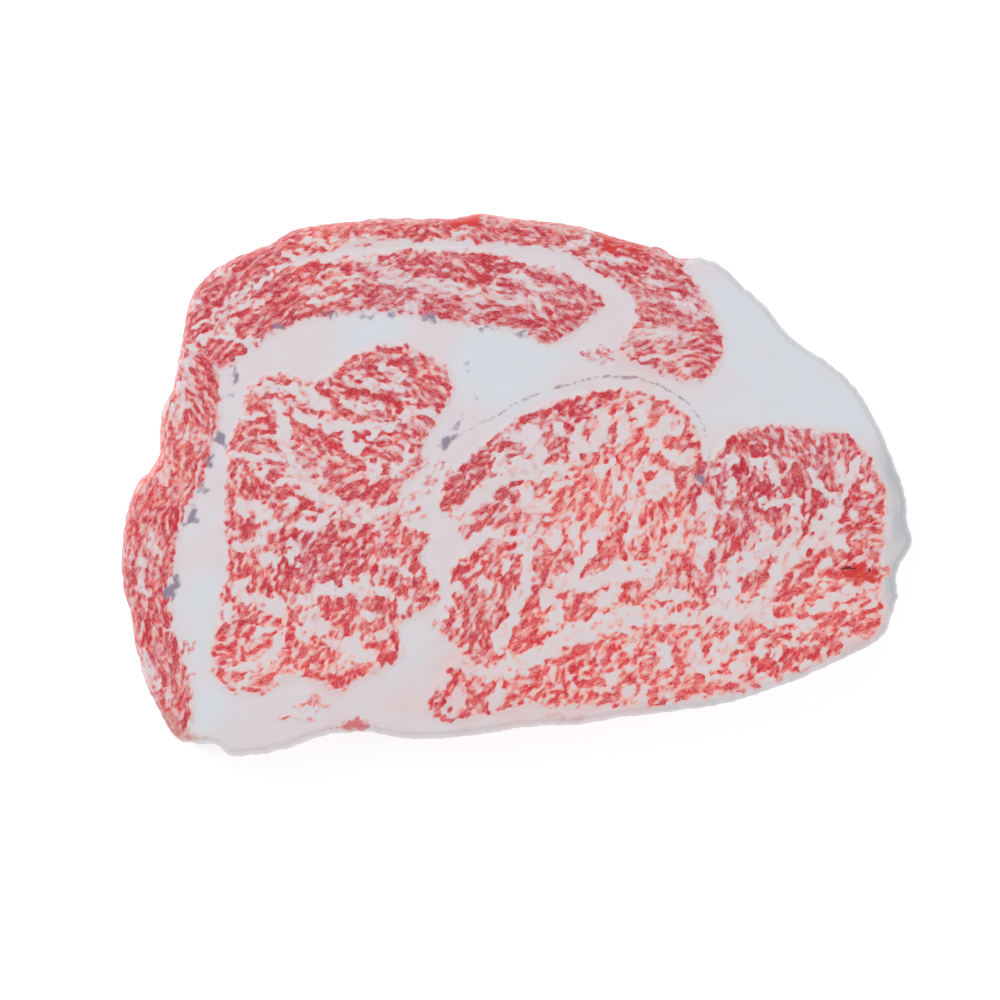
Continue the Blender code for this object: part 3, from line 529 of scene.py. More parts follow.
def along_fibres(seed, kept):
    """Random flecks that follow the fibres: noise filtered once for each of a fan of directions and blended
    by the fibres' angle. Kept says how much of a wave stays, by its waves per millimetre along and across."""
    noise = white_noise(seed)
    turn = (fibre_angle / np.pi * FIBRE_TURNS) % FIBRE_TURNS
    total = np.zeros_like(map_x)
    for k in range(FIBRE_TURNS):
        c, s = np.cos(np.pi * k / FIBRE_TURNS), np.sin(np.pi * k / FIBRE_TURNS)
        layer = levelled(np.fft.ifft2(noise * kept(c * wave_x + s * wave_y, c * wave_y - s * wave_x)).real)
        apart = np.abs(turn - k)
        total += layer * np.clip(1 - np.minimum(apart, FIBRE_TURNS - apart), 0, 1)
    return total


def grown(seed, width, length, largest):
    """Flecks of a width and a length: shorter waves fade out, and so do those longer than the largest."""
    coarse = 1 - np.exp(-(wave_x**2 + wave_y**2) * largest**2)
    return along_fibres(
        seed,
        lambda along, across: coarse * np.exp(-FLECK_FADE * ((across * width) ** 2 + (along * length) ** 2)),
    )


def curly(seed, spacing, spread, straight):
    """Strands a spacing apart that wander and loop: a ring of waves, with those along the fibres weaker."""
    wave = np.hypot(wave_x, wave_y) + 1e-9
    ring = np.exp(-(((wave * spacing - 1) / spread) ** 2))
    return along_fibres(seed, lambda along, across: ring * (1 - straight * np.abs(along) / wave))


rim_depth = depth_inside(rim, map_x, map_y)
outlines = {name: closed_curve(points, RIM_STEP) for name, points in MUSCLES.items()}
depths = {name: depth_inside(outline, map_x, map_y) for name, outline in outlines.items()}

# The thin muscles are drawn a little apart from each other and from the rim. All but the cap strip grow
# out to the rim. At the steak's shoulder, its upper left part, they also grow together, and round one corner
# they grow by more. Each grows by so many millimetres, no further than its reach.
SHOULDER_X = (-72, -48)
SHOULDER_Y = (36, 46)
SHOULDER_GROWTH = 2.4
CORNER = (-99, 54)
CORNER_AREA = 40
CORNER_GROWTH = 2.5
RIM_GROWTH = 3.4
GROWTH_REACH = 7
shoulder = (1 - eased(map_x, *SHOULDER_X)) * eased(map_y, *SHOULDER_Y)
corner_apart = (map_x - CORNER[0]) ** 2 + (map_y - CORNER[1]) ** 2
drawn = {name: depths[name] for name in THIN_MUSCLES}
for name in THIN_MUSCLES:
    nearby = np.maximum.reduce([drawn[other] for other in THIN_MUSCLES if other != name])
    at_gap = SHOULDER_GROWTH * shoulder * eased(nearby, -8, -5)
    at_gap = at_gap + CORNER_GROWTH * np.exp(-corner_apart / CORNER_AREA)
    at_rim = RIM_GROWTH * (1 - eased(rim_depth, 2.0, 4.5)) * (name != "cap_strip")
    depths[name] = drawn[name] + np.maximum(at_rim, at_gap) * (drawn[name] > -GROWTH_REACH)
deepest = np.maximum.reduce(list(depths.values()))
thin_depth = np.maximum.reduce([depths[name] for name in THIN_MUSCLES])
in_thin = eased(thin_depth - np.maximum(depths["left_eye"], depths["main_eye"]), -0.5, 0.5)

clump, bunch, streak = grown(51, *CLUMP_SIZE), grown(53, *BUNCH_SIZE), grown(55, *STREAK_SIZE)
strand, twist, ripple = curly(62, *STRAND_CURL), curly(63, *TWIST_CURL), curly(65, *RIPPLE_CURL)
clump_wall = np.exp(-((curly(67, *CLUMP_WALLS) / CLUMP_WALL_WIDTH) ** 2))
fibre_wall = np.exp(-((curly(68, *FIBRE_WALLS) / FIBRE_WALL_WIDTH) ** 2))
# The hand-read strokes swerve a little, and a narrow moat of fat runs round each fleck.
swerve_x = map_x + 0.7 * cloud(11, 3.5) + 0.25 * cloud(12, 1.5)
swerve_y = map_y + 0.7 * cloud(13, 3.5) + 0.25 * cloud(14, 1.5)
seam = eased(brushed(SEAMS, swerve_x, swerve_y), -1.0, 0.45)
fleck_depth = brushed(FLECKS, swerve_x, swerve_y)
fleck = eased(fleck_depth, -0.8, 0.6) * (1 - seam)
moat = np.exp(-(((fleck_depth + 1.6) / 0.7) ** 2))
stray = brushed(STRAY_FLECKS, swerve_x, swerve_y)

# Rich is how close the flecks stand at a place, in the two eyes and in the thin muscles. Flecks and dense
# meat add to it, and seams, walls and moats take from it. It fades out over a muscle's border.
rich_eye = 0.6 * clump + 0.45 * bunch * (1 - 0.6 * seam) + 0.9 * fleck - 1.1 * moat - 2.7 * seam + 1.2
rich_eye -= 1.6 * clump_wall * (1 - 0.5 * fleck)
rich_thin = 0.6 * streak + 0.2 * clump + 0.6 * fleck
rich_thin = rich_thin - (2.1 + 1.4 * shoulder) * seam + 1.15 + 0.45 * shoulder
rich_thin -= 1.0 * fibre_wall * (1 - 0.6 * fleck) + 0.35 * moat
border = eased(deepest + 0.5 * cloud(41, 2.5), -0.8, 0.8)
rich = rich_eye + (rich_thin - rich_eye) * in_thin + 0.4 * patches(DENSE_MEAT)
rich = np.minimum(rich, 0.9 + 0.3 * rich) * border - 2.2 * (1 - border)
# Lean is how deep a place lies inside a strand of lean: strands of three sizes, deeper where the flecks
# stand close, with the stray flecks laid over them.
lean = (0.6 - 0.2 * in_thin) * strand + 0.4 * twist + 0.15 * ripple
lean = lean + (1 - 0.15 * in_thin) * (rich - 0.12)
lean = np.minimum(lean, 2.4 * (rich + 0.9))
lean = np.maximum(lean, np.minimum(1.7 * stray + 0.4 * twist, 1.3))

# The face's heights all over the map, and the back's.
face_cloud = FACE_CLOUD * cloud(61, 9)
edge_drop = RIM_ROUNDING - np.clip(rim_depth, 0, RIM_ROUNDING)
wall_share = np.sqrt(np.clip(1 - (edge_drop / RIM_ROUNDING) ** 2, 0, 1)) ** (2 / RIM_SQUARENESS)
fat_height = WALL_MIDDLE + (FAT_FACE - WALL_MIDDLE) * wall_share + face_cloud * eased(rim_depth, 2, 6)
# The muscles, and each stray fleck with a little fat round it, come up through the slab.
shown = np.maximum(deepest, np.minimum(1.5 * stray + 0.5, -0.3))
swell = -0.25 + 0.35 * eased(shown, -2.2, -1.0) + (SWELL - 0.1) * eased(shown, -1.0, 1.8)
swell = np.where(rim_depth < 4, swell * eased(rim_depth, 1.0, 4.0), swell)
swell = swell - 0.6 * (1 - eased(rim_depth, 1.3, 2.4))
relief = FLECK_RELIEF * (eased(lean, -0.5, 0.5) - 0.5) * eased(deepest, -0.5, 1.0)
face_height = np.minimum(fat_height + swell - relief, STEAK_THICKNESS)
back_height = BACK_REST - BACK_REST * eased(shown, -1.6, 0.2) + 0.2 * (1 - eased(shown, -2.2, -1.0))
back_height += 1.5 * (1 - eased(rim_depth, 1.3, 2.6))

# Where the meat's red is brighter and darker, where the fat is cold and pink, and where painted grey
# shade of the right rim's rounded edge lies, as a size and a place. Then the raw red spots, the cracks,
# the bruises, the fine brown line and the tan skin, as half a width and the points each runs through.
BRIGHT_MEAT = (
    (17, 30, -56), (13, 2, -52), (14, 62, -56), (15, 100, -40), (12, 24, -8), (8, 42, 12), (9, 48, -12),
    (12, -75, -55), (8, -62, 64), (7, -50, -55), (6, -60, 80), (9, -115, 5),
)
DARK_MEAT = (
    (15, 88, 2), (11, 66, 2), (14, 0, 58), (9, -28, 60), (10, 52, 58), (8, -44, 32), (8, -40, 60),
    (8, -8, -42), (7, -66, -22), (12, -14, 8), (10, 4, 22), (12, 22, 58), (12, -60, 60),
)
COLD_FAT = (
    (9, -8, 40), (8, -2, 36), (7, 5, 46), (8, -45, 50), (5, -98, -50), (5, -99, -35), (5, -100, -70),
    (12, 90, 28), (12, 75, 40), (10, 105, 22), (9, 70, 55),
)
# Spots of painted grey shade along the right rim, where the fat's edge rounds away.
RIM_SHADE_SPOTS = ((6, 122, 4), (6, 123, -12), (5, 121, -30))
PINK_FAT = (
    (9, 20, -74), (8, 2, -75), (7, -15, -77), (7, 38, -73), (9, -60, -74), (7, 50, 38), (6, 36, 40),
    (8, -20, -58), (8, 108, -52), (6, 120, -38), (6, -34, -66),
)
RAW_SPOTS = (
    (1.9, -22, 84.3, -16, 84.6, -10.5, 84.8), (0.7, -1.8, 83.6, 3, 82.6), (1.7, 26.5, 78.3, 33, 76.6),
    (1.2, 33, 76.6, 43, 74.4), (2.7, -53, -76.6, -46.5, -76.9), (1.0, -58, -78.4, -53, -77.6, -44, -77.8),
    (0.8, -74, -84, -70.6, -83.2), (0.8, -63.3, -80.8, -61, -79.8), (2.6, 106, -27.2, 113.5, -28.6),
    (1.4, 105.5, -24.8, 110.3, -25.4), (0.9, -112.5, -61, -111.5, -61.5),
    (1.0, -108.5, -69.5, -107.5, -69.7),
)
CRACKS = (
    (0.55, 103.7, -26.7, 105.5, -26.1, 107.8, -26.5), (0.4, 112.9, -25.2, 112.6, -27, 112.3, -28.6),
)
BRUISES = (
    (1.5, -90, 37.5, -90, 34), (1.3, -91, 30, -91, 28), (1.8, -94, 16.5, -94.6, 13),
    (1.3, -97.3, 9, -97.7, 6.5), (1.3, -98.6, -0.5, -99.4, -3), (1.9, -102.2, -8, -104, -11.5),
    (1.5, -108.5, -29, -110, -32, -111.5, -36), (0.9, -77.5, 49, -74, 50), (0.8, -60, 54.3, -56, 54),
    (0.9, -50, 54.6, -46, 54.3), (1.1, -40, 54.6, -38.5, 54.3), (0.8, -31, 53.5, -25, 52.3),
    (0.6, -12, 50.5, -6, 50), (0.7, 0, 49.2, 4, 47.5), (1.2, 57.7, 3.5, 59.8, 1.5),
    (1.7, -24.5, 12.5, -21, 15.5), (0.6, -20.5, 16.5, -18, 20.5, -16.5, 23), (0.5, 66.3, -32, 66.9, -32),
    (0.5, 77.5, -21.8, 78, -21.8), (0.5, -17, 36, -16, 36.6), (0.4, -13.5, 26, -13.3, 30),
    (0.4, -17, 41, -16, 39),
)
FINE_LINE = (
    (0.65, -19, 15, -14, 18.2, -10, 20.3, -5, 23, 0, 26, 5, 28.5, 10, 30.5, 17, 32.3, 22, 33.5, 30, 34.7,
     38, 34.3, 45, 32.5, 50, 29.8, 55, 26, 57.5, 22.5, 60, 19, 61.3, 13, 61.5, 8, 59, 3.5),
    (0.35, 62.5, 13, 66, 17, 75, 18.6, 90, 18.1, 105, 16.6), (0.25, 112, 12, 116, 4.5, 118.6, -5, 119, -15),
)
TAN_SKIN = (
    (1.4, -37, 84.6, -24, 84.4), (1.5, -9, 85, 2, 83.8, 12, 82.8, 24, 80.6, 30, 79), (1.3, 40, 76, 46, 74),
    (1.6, -112, -73, -106, -79.5, -99, -80.5), (1.0, -57, -77.5, -50, -77.5, -43, -77),
    (0.8, 8, -73.5, 22, -74.5),
)

warmth = np.clip(0.42 + 0.5 * patches(BRIGHT_MEAT) - 0.32 * patches(DARK_MEAT) - 0.12 * in_thin, 0, 1)
out_in_fat = 1 - eased(deepest, -2.5, -0.5)
cold = np.clip(patches(COLD_FAT) * 1.2 + 0.18 * cloud(71, 12) + 0.15, 0, 1) * out_in_fat
# Painted shade: the fat is painted grey within a few millimetres of the right rim, where its edge rounds
# away.
painted_edge_shade = 0.4 * (1 - eased(rim_depth, 0.5, 3.0)) * (map_x > 55)
rim_shade = np.clip(patches(RIM_SHADE_SPOTS) + painted_edge_shade, 0, 1) * out_in_fat
pink = patches(PINK_FAT) * 0.7 + 0.1 * cloud(72, 8) + 0.2 * eased(deepest, -4, -1) - 0.1
pink = np.clip(pink, 0, 1)
bruise = brushed(BRUISES, swerve_x, swerve_y)
fine_line = brushed(FINE_LINE, map_x + 0.15 * cloud(73, 3), map_y + 0.15 * cloud(74, 3), taper=0.6)
tan = brushed(TAN_SKIN, swerve_x, swerve_y)
raw = brushed(RAW_SPOTS, swerve_x, swerve_y)
crack = brushed(CRACKS, map_x, map_y)
# What the beef's paint reads at each point. Beef is how deep it lies in a strand, how close the strands
# stand, and their ripples. Mood is the warmth of the meat's red, its tone, and the depth of cracks. Fat is
# the share of cold bluish fat, of painted grey shade at the right rim and of pink. Marks are the depth of
# bruises, of the fine brown line round the main eye, and of tan skin. Blood is the depth of raw red spots,
# and then two numbers that nothing reads. Fibre is the cosine and sine of twice the fibres' angle, and the
# share of thin muscle.
PAINT_MAPS = {
    "beef": (lean, rich, ripple),
    "mood": (warmth, cloud(57, 9), crack),
    "fat": (cold, rim_shade, pink),
    "marks": (bruise, fine_line, tan),
    "blood": (raw, in_thin, in_thin),
    "fibre": (np.cos(2 * fibre_angle), np.sin(2 * fibre_angle), in_thin),
}


class Wire:
    """A node's output. Python's operators add the Math nodes that it feeds, and made adds any other node."""

    def __init__(self, tree, socket):
        self.tree, self.socket = tree, socket

    def made(self, kind, settings, values, output=0):
        """Adds a node, makes its settings, then fills its sockets with numbers or other wires."""
        node = self.tree.nodes.new(kind)
        for name, setting in settings.items():
            setattr(node, name, setting)
        for name, value in values.items():
            if isinstance(value, Wire):
                self.tree.links.new(value.socket, node.inputs[name])
            else:
                node.inputs[name].default_value = value
        return Wire(self.tree, node.outputs[output])

    def reckoned(self, operation, *others):
        """A Math node's result for this value and the others."""
        return self.made("ShaderNodeMath", {"operation": operation}, dict(enumerate((self, *others))))

    def __add__(self, other):
        return self.reckoned("ADD", other)

    __radd__ = __add__

    def __sub__(self, other):
        return self.reckoned("SUBTRACT", other)

    def __rsub__(self, other):
        return self.made("ShaderNodeMath", {"operation": "SUBTRACT"}, {0: other, 1: self})

    def __mul__(self, other):
        return self.reckoned("MULTIPLY", other)

    __rmul__ = __mul__

    def eased(self, low, high):
        """0 below low, 1 above high and an even S between them."""
        return self.made(
            "ShaderNodeMapRange",
            {"interpolation_type": "SMOOTHSTEP"},
            {"Value": self, "From Min": low, "From Max": high, "To Min": 0.0, "To Max": 1.0},
        )

    def under(self, colour, share):
        """This colour with another one laid over it by a share from 0 to 1."""
        return self.made("ShaderNodeMix", {"data_type": "RGBA"}, {0: share, 6: self, 7: colour}, output=2)

    def picked(self, stops, colours):
        """A colour picked by this value from a ramp of colours at stops from 0 to 1."""
        ramp = self.made("ShaderNodeValToRGB", {}, {0: self})
        elements = ramp.socket.node.color_ramp.elements
        for stop in stops[2:]:
            elements.new(stop)
        for element, stop, colour in zip(elements, stops, colours):
            element.position = stop
            element.color = screen_colour(*colour)
        return ramp


def screen_colour(red, green, blue):
    """A colour read off a screen, 0 to 255, as the light it stands for."""
    shade = np.array([red, green, blue]) / 255
    light = np.where(shade < 0.04045, shade / 12.92, ((shade + 0.055) / 1.055) ** 2.4)
    return (*light.tolist(), 1.0)


# From white fat inside a muscle to the reddest lean, by a redness from 0 to 1, where the meat is cool and
# where it is warm.
RED_STOPS = (0.0, 0.2, 0.34, 0.47, 0.6, 0.73, 0.86, 1.0)
COOL_RED = (
    (219, 211, 216), (218, 192, 197), (216, 169, 175), (213, 143, 148),
    (205, 114, 120), (197, 87, 96), (192, 60, 73), (184, 36, 56),
)
WARM_RED = (
    (224, 213, 216), (231, 196, 192), (237, 178, 170), (237, 154, 148),
    (234, 129, 124), (230, 105, 104), (224, 79, 84), (214, 50, 60),
)
FAT_WHITE = screen_colour(220, 210, 214)
FAT_COLD = screen_colour(214, 217, 223)
# The grey of the painted shade on the fat where the right rim rounds away.
RIM_SHADE_GREY = screen_colour(186, 188, 192)
FAT_PINK = screen_colour(224, 196, 198)
BRUISE_PURPLE = screen_colour(142, 127, 150)
LINE_BROWN = screen_colour(150, 114, 118)
SKIN_TAN = screen_colour(212, 168, 156)
RAW_RED = screen_colour(210, 52, 50)
CRACK_DARK = screen_colour(96, 22, 28)
# The fine noise of the paint, by its size in millimetres and its detail.
EMBER = (2.4, 2.0)
FINE = (1.2, 3.0)
HAIR = (0.55, 2.0)
# The width and length of a combed fibre in millimetres, and the number of directions that it can take.
FIBRE_SIZE = (1.0, 2.8)
COMB_TURNS = 6
# How shiny the beef is, and how deep its bumps are in metres.
BEEF_SHINE = 0.35
BUMP_DEPTH = 0.0003


def beef_paint():
    """Marbled beef. Redness grows with how close the flecks stand and with the depth in a strand, more so
    along ripples and outlines, and picks a colour. Fat, skin, bruises and cracks have maps of their own."""
    paint = bpy.data.materials.new("marbled_beef")
    paint.use_nodes = True
    tree = paint.node_tree
    shader = tree.nodes["Principled BSDF"]
    place = Wire(tree, None).made("ShaderNodeTexCoord", {}, {}, output=3)

    def read(name):
        """The three numbers that an attribute of the mesh holds."""
        held = place.made("ShaderNodeAttribute", {"attribute_name": name}, {}, output=1)
        parts = held.made("ShaderNodeSeparateXYZ", {}, {0: held}).socket.node.outputs
        return [Wire(tree, part) for part in parts]

    def noise(size_mm, detail):
        settings = {"Vector": place, "Scale": 1000 / size_mm, "Detail": detail, "Roughness": 0.55}
        return place.made("ShaderNodeTexNoise", {}, settings) - 0.5

    fibre_cosine, fibre_sine, thin = read("fibre")

    def combed(width_mm, length_mm):
        """Noise drawn out along the fibres: a fan of stretched noises, each kept where the fibres agree."""
        stretch = (length_mm * MM, width_mm * MM, width_mm * MM)
        layers = []
        for k in range(COMB_TURNS):
            turn = np.pi * k / COMB_TURNS
            drawn_out = {"Vector": place, "Rotation": (0, 0, turn), "Scale": stretch}
            along = place.made("ShaderNodeMapping", {"vector_type": "TEXTURE"}, drawn_out)
            settings = {"Vector": along, "Scale": 1.0, "Detail": 1.0}
            strands = along.made("ShaderNodeTexNoise", {}, settings) - 0.5
            nearness = fibre_cosine * np.cos(2 * turn) + fibre_sine * np.sin(2 * turn) - 0.5
            layers.append(strands * (nearness * 2.0).reckoned("MAXIMUM", 0.0))
        return sum(layers)

    strand_depth, richness, ripples = read("beef")
    warm, tone, crack_depth = read("mood")
    cold_share, rim_shade_share, pink_share = read("fat")
    bruise_depth, line_depth, skin_depth = read("marks")
    raw_depth = read("blood")[0]
    ember, fine, hair = noise(*EMBER), noise(*FINE), noise(*HAIR)

    fibres = combed(*FIBRE_SIZE)
    depth = strand_depth + fibres * (thin * 1.2 + 3.7) + hair * 1.2
    halo = richness.eased(-2.6, -0.4)
    body = depth.eased(-1.2, 0.8)
    core = depth.eased(0.2, 2.1)
    ripples = ripples + fibres * 2.2
    lines = (ripples * ripples * -6.0).reckoned("EXPONENT")
    outline = ((richness - 0.6) * (richness - 0.6) * -7.0).reckoned("EXPONENT")
    redness = halo * 0.17 + body * (outline * 0.1 + lines * 0.08 + tone * 0.06 + 0.25)
    redness = redness + core * (lines * 0.3 + 0.23) + 0.06

    share = warm + ember * 2.2 - core * 0.2 + 0.08
    share = share.reckoned("MINIMUM", 1.0).reckoned("MAXIMUM", 0.0)
    meat = redness.picked(RED_STOPS, COOL_RED).under(redness.picked(RED_STOPS, WARM_RED), share)
    fat = place.made("ShaderNodeRGB", {}, {})
    fat.socket.default_value = FAT_WHITE
    # The grey laid over the fat last is painted shade at the right rim.
    fat = fat.under(FAT_PINK, pink_share + fine * 0.3).under(FAT_COLD, cold_share).under(RIM_SHADE_GREY, rim_shade_share)
    colour = fat.under(meat, redness.eased(0.06, 0.22))
    colour = colour.under(SKIN_TAN, (skin_depth + fine * 1.6).eased(-0.8, 0.8) * 0.6)
    rawness = (raw_depth + fibres * 3.5 + ember * 3.0).eased(-0.7, 0.9)
    colour = colour.under(RAW_RED, rawness * (body * 0.2 + 0.75))
    colour = colour.under(BRUISE_PURPLE, (bruise_depth + fine * 1.4).eased(-0.5, 0.9) * 0.95)
    colour = colour.under(LINE_BROWN, (line_depth + ember * 1.3).eased(0.0, 0.6) * 0.72)
    colour = colour.under(CRACK_DARK, (crack_depth + fine * 2.0).eased(-0.1, 0.4))
    tree.links.new(colour.socket, shader.inputs["Base Color"])

    roughness = 0.46 - body * 0.08 + hair * 0.15
    tree.links.new(roughness.socket, shader.inputs["Roughness"])
    height = fine * 0.5 - body * 0.25 + hair * 0.35
    bump = place.made("ShaderNodeBump", {}, {"Strength": 0.5, "Distance": BUMP_DEPTH, "Height": height})
    tree.links.new(bump.socket, shader.inputs["Normal"])
    shader.inputs["Specular IOR Level"].default_value = BEEF_SHINE
    return paint


beef = beef_paint()

# Each piece's flat map: its cut face fills the upper part of the square, its back the lower part, and its
# wall runs between them as a strip. An edge sharper than this angle isn't smoothed over.
FACE_PART = (0.29, 0.99)
WALL_PART = (0.235, 0.275)
BACK_PART = (0.01, 0.22)
SHARP_ANGLE = np.radians(60)


def flat_map(corners, faces, face_count, back_count):
    """Where each corner of each face lies on the flat map. The wall is unrolled about the piece's middle."""
    low, size = corners.min(axis=0), np.ptp(corners, axis=0)
    spots = (corners[faces] - low) / size
    part = np.arange(len(faces))[:, None]
    bands = [
        low_v + (high_v - low_v) * spots[:, :, axis]
        for (low_v, high_v), axis in ((FACE_PART, 1), (BACK_PART, 1), (WALL_PART, 2))
    ]
    lies_flat = part < face_count + back_count
    up = np.where(part < face_count, bands[0], np.where(lies_flat, bands[1], bands[2]))
    angle = np.arctan2(spots[:, :, 1] - 0.5, spots[:, :, 0] - 0.5) / (2 * np.pi)
    angle = angle[:, :1] + (angle - angle[:, :1] + 0.5) % 1 - 0.5
    across = np.where(lies_flat, spots[:, :, 0], 0.5 + 0.9 * angle)
    return np.stack([0.01 + 0.98 * across, up], axis=-1)


def dressed(name, corners, faces, face_count, back_count, looks):
    """A smooth mesh with the paint maps as its attributes and a flat map, riding on the steak's one body.
    Its faces are in the order cut face, back, wall."""
    mesh = bpy.data.meshes.new(name)
    mesh.vertices.add(len(corners))
    mesh.vertices.foreach_set("co", corners.astype(np.float32).ravel())
    mesh.loops.add(faces.size)
    mesh.loops.foreach_set("vertex_index", faces.astype(np.int32).ravel())
    mesh.polygons.add(len(faces))
    mesh.polygons.foreach_set("loop_start", np.arange(0, faces.size, 4, dtype=np.int32))
    for attribute, values in looks.items():
        held = mesh.attributes.new(attribute, "FLOAT_VECTOR", "POINT")
        held.data.foreach_set("vector", values.astype(np.float32).ravel())
    sheet = mesh.uv_layers.new(name="OFBake")
    sheet.data.foreach_set("uv", flat_map(corners, faces, face_count, back_count).astype(np.float32).ravel())
    mesh.update()
    mesh.validate()
    mesh.shade_smooth()
    mesh.set_sharp_from_angle(angle=SHARP_ANGLE)
    mesh.materials.append(beef)
    piece = bpy.data.objects.new(name, mesh)
    bpy.context.scene.collection.objects.link(piece)
    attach(piece, "root")
    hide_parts("rib_eye")


def plug(name, owned):
    """A closed solid over the squares of the map that it owns: face, back, and a wall at each open side."""
    columns, rows = np.nonzero(owned)
    numbers = np.full(map_x.shape, -1)
    around = [(columns, rows), (columns + 1, rows), (columns + 1, rows + 1), (columns, rows + 1)]
    for i, j in around:
        numbers[i, j] = 0
    i, j = np.nonzero(numbers == 0)
    count = len(i)
    numbers[i, j] = np.arange(count)
    face = np.column_stack([numbers[a, b] for a, b in around])
    padded = np.pad(owned, 1)
    walls = []
    for k, (step_i, step_j) in enumerate(((0, -1), (1, 0), (0, 1), (-1, 0))):
        open_side = ~padded[columns + 1 + step_i, rows + 1 + step_j]
        start, end = face[open_side, k], face[open_side, (k + 1) % 4]
        walls.append(np.column_stack([end, start, start + count, end + count]))
    x, y = map_x[i, j], map_y[i, j]
    corners = np.vstack([placed(x, y, face_height[i, j]), placed(x, y, back_height[i, j])])
    faces = np.vstack([face, face[:, ::-1] + count, *walls])
    looks = {
        attribute: np.tile(np.column_stack([values[i, j] for values in maps]), (2, 1))
        for attribute, maps in PAINT_MAPS.items()
    }
    dressed(name, corners, faces, len(face), len(face), looks)


def at_centres(values):
    """A map's value at the middle of each of its squares."""
    return (values[1:, 1:] + values[:-1, 1:] + values[1:, :-1] + values[:-1, :-1]) / 4


# The main eye is cut in two below its notch, as one mesh would be too heavy. Its right part is the side eye.
SIDE_EYE_LEFT = 61.5
square_depths = {name: at_centres(values) for name, values in depths.items()}
square_deepest = np.maximum.reduce(list(square_depths.values()))
square_x = at_centres(map_x)
in_a_piece = (at_centres(shown) > -HIDDEN_EDGE) & (at_centres(rim_depth) > RIM_MARGIN)
for name, values in square_depths.items():
    owned = (values == square_deepest) & in_a_piece
    if name == "main_eye":
        plug("side_eye", owned & (square_x > SIDE_EYE_LEFT))
        owned &= square_x < SIDE_EYE_LEFT
    plug(name, owned)

# The fat. One slab of beef fat holds the muscles, with a soft rounded edge all round and a flat back. The
# bruises, the fine line and the tan skin lie in it, and its wall shows the thin muscles' meat where they
# reach the edge. It is a bent square grid for the face, one for the back, and rows of squares between.
# The rings of a grid, the rows of the wall above and below its middle, and how the rows crowd at its ends.
RINGS = 100
FACE_ROWS = 13
BACK_ROWS = 9
ROW_CROWDING = 1.8
# The place low on the right of the rim where the first corner of the grids lies.
GRID_CORNER = (88, -63)
# In millimetres: the nicks in the ragged edge of the cut, how far the whole edge lies in from the rim, and
# how far the fat sinks under the muscles.
NICK_DEPTH = 0.28
RIM_INSET = 0.07
COVERED_SINK = 0.4
# Down the wall the grain sways to the sides, and comes from a little further in with each millimetre. It
# sways and bulges in waves, 2 pi times these long, which start at places this far apart round the rim.
GRAIN_SWAY = 3.0
GRAIN_INWARD = 0.15
GRAIN_BULGE = 1.2
GRAIN_WAVES = (3.2, 2.6)
WAVE_STARTS = 2.5
# Marks with this taken off their depth are gone.
MARK_FADE = 9


def read_map(values, x, y):
    """A map's value at any place, worked out evenly between its four nearest points."""
    i, j = (x - map_x[0, 0]) / MAP_STEP, (y - map_y[0, 0]) / MAP_STEP
    low_i, low_j = np.floor(i).astype(int), np.floor(j).astype(int)
    a, b = i - low_i, j - low_j
    return (
        (1 - a) * (1 - b) * values[low_i, low_j]
        + a * (1 - b) * values[low_i + 1, low_j]
        + (1 - a) * b * values[low_i, low_j + 1]
        + a * b * values[low_i + 1, low_j + 1]
    )


def moved_in(outline, distance):
    """A clockwise outline moved inwards along its own smoothed normals, by one distance or one a point."""
    ahead, behind = np.roll(outline, -1, axis=0), np.roll(outline, 1, axis=0)
    tangent = ahead - behind
    tangent += 0.5 * (np.roll(tangent, -1, axis=0) + np.roll(tangent, 1, axis=0))
    tangent /= np.linalg.norm(tangent, axis=1)[:, None]
    return outline + np.reshape(distance, (-1, 1)) * np.column_stack([tangent[:, 1], -tangent[:, 0]])


def ring_grid(outline):
    """A square grid bent to fill an outline: each square ring of the grid is the outline drawn smaller about
    the middle. Gives the places, the grid's faces and the numbers of the outer ring's corners in order."""
    u, v = np.meshgrid(np.arange(-RINGS, RINGS + 1), np.arange(-RINGS, RINGS + 1), indexing="ij")
    ring = np.maximum(np.abs(u), np.abs(v))
    sides = [(u == ring) & (v < ring), (v == ring) & (u > -ring), (u == -ring) & (v > -ring)]
    side = np.select(sides, [0, 1, 2], 3)
    way = np.choose(side, [ring + v, 3 * ring - u, 5 * ring - v, 7 * ring + u])
    turn = way / np.maximum(8 * ring, 1) % 1
    steps = np.linspace(0, 1, len(outline) + 1)
    centre = outline.mean(axis=0)
    loop = np.vstack([outline, outline[:1]])
    x, y = (centre[k] + ring / RINGS * (np.interp(turn, steps, loop[:, k]) - centre[k]) for k in (0, 1))
    numbers = np.arange(u.size).reshape(u.shape)
    squares = (numbers[:-1, :-1], numbers[1:, :-1], numbers[1:, 1:], numbers[:-1, 1:])
    faces = np.column_stack([corner.ravel() for corner in squares])
    outer = ring.ravel() == RINGS
    edge = numbers.ravel()[outer][np.argsort(way.ravel()[outer])]
    return x.ravel(), y.ravel(), faces, edge


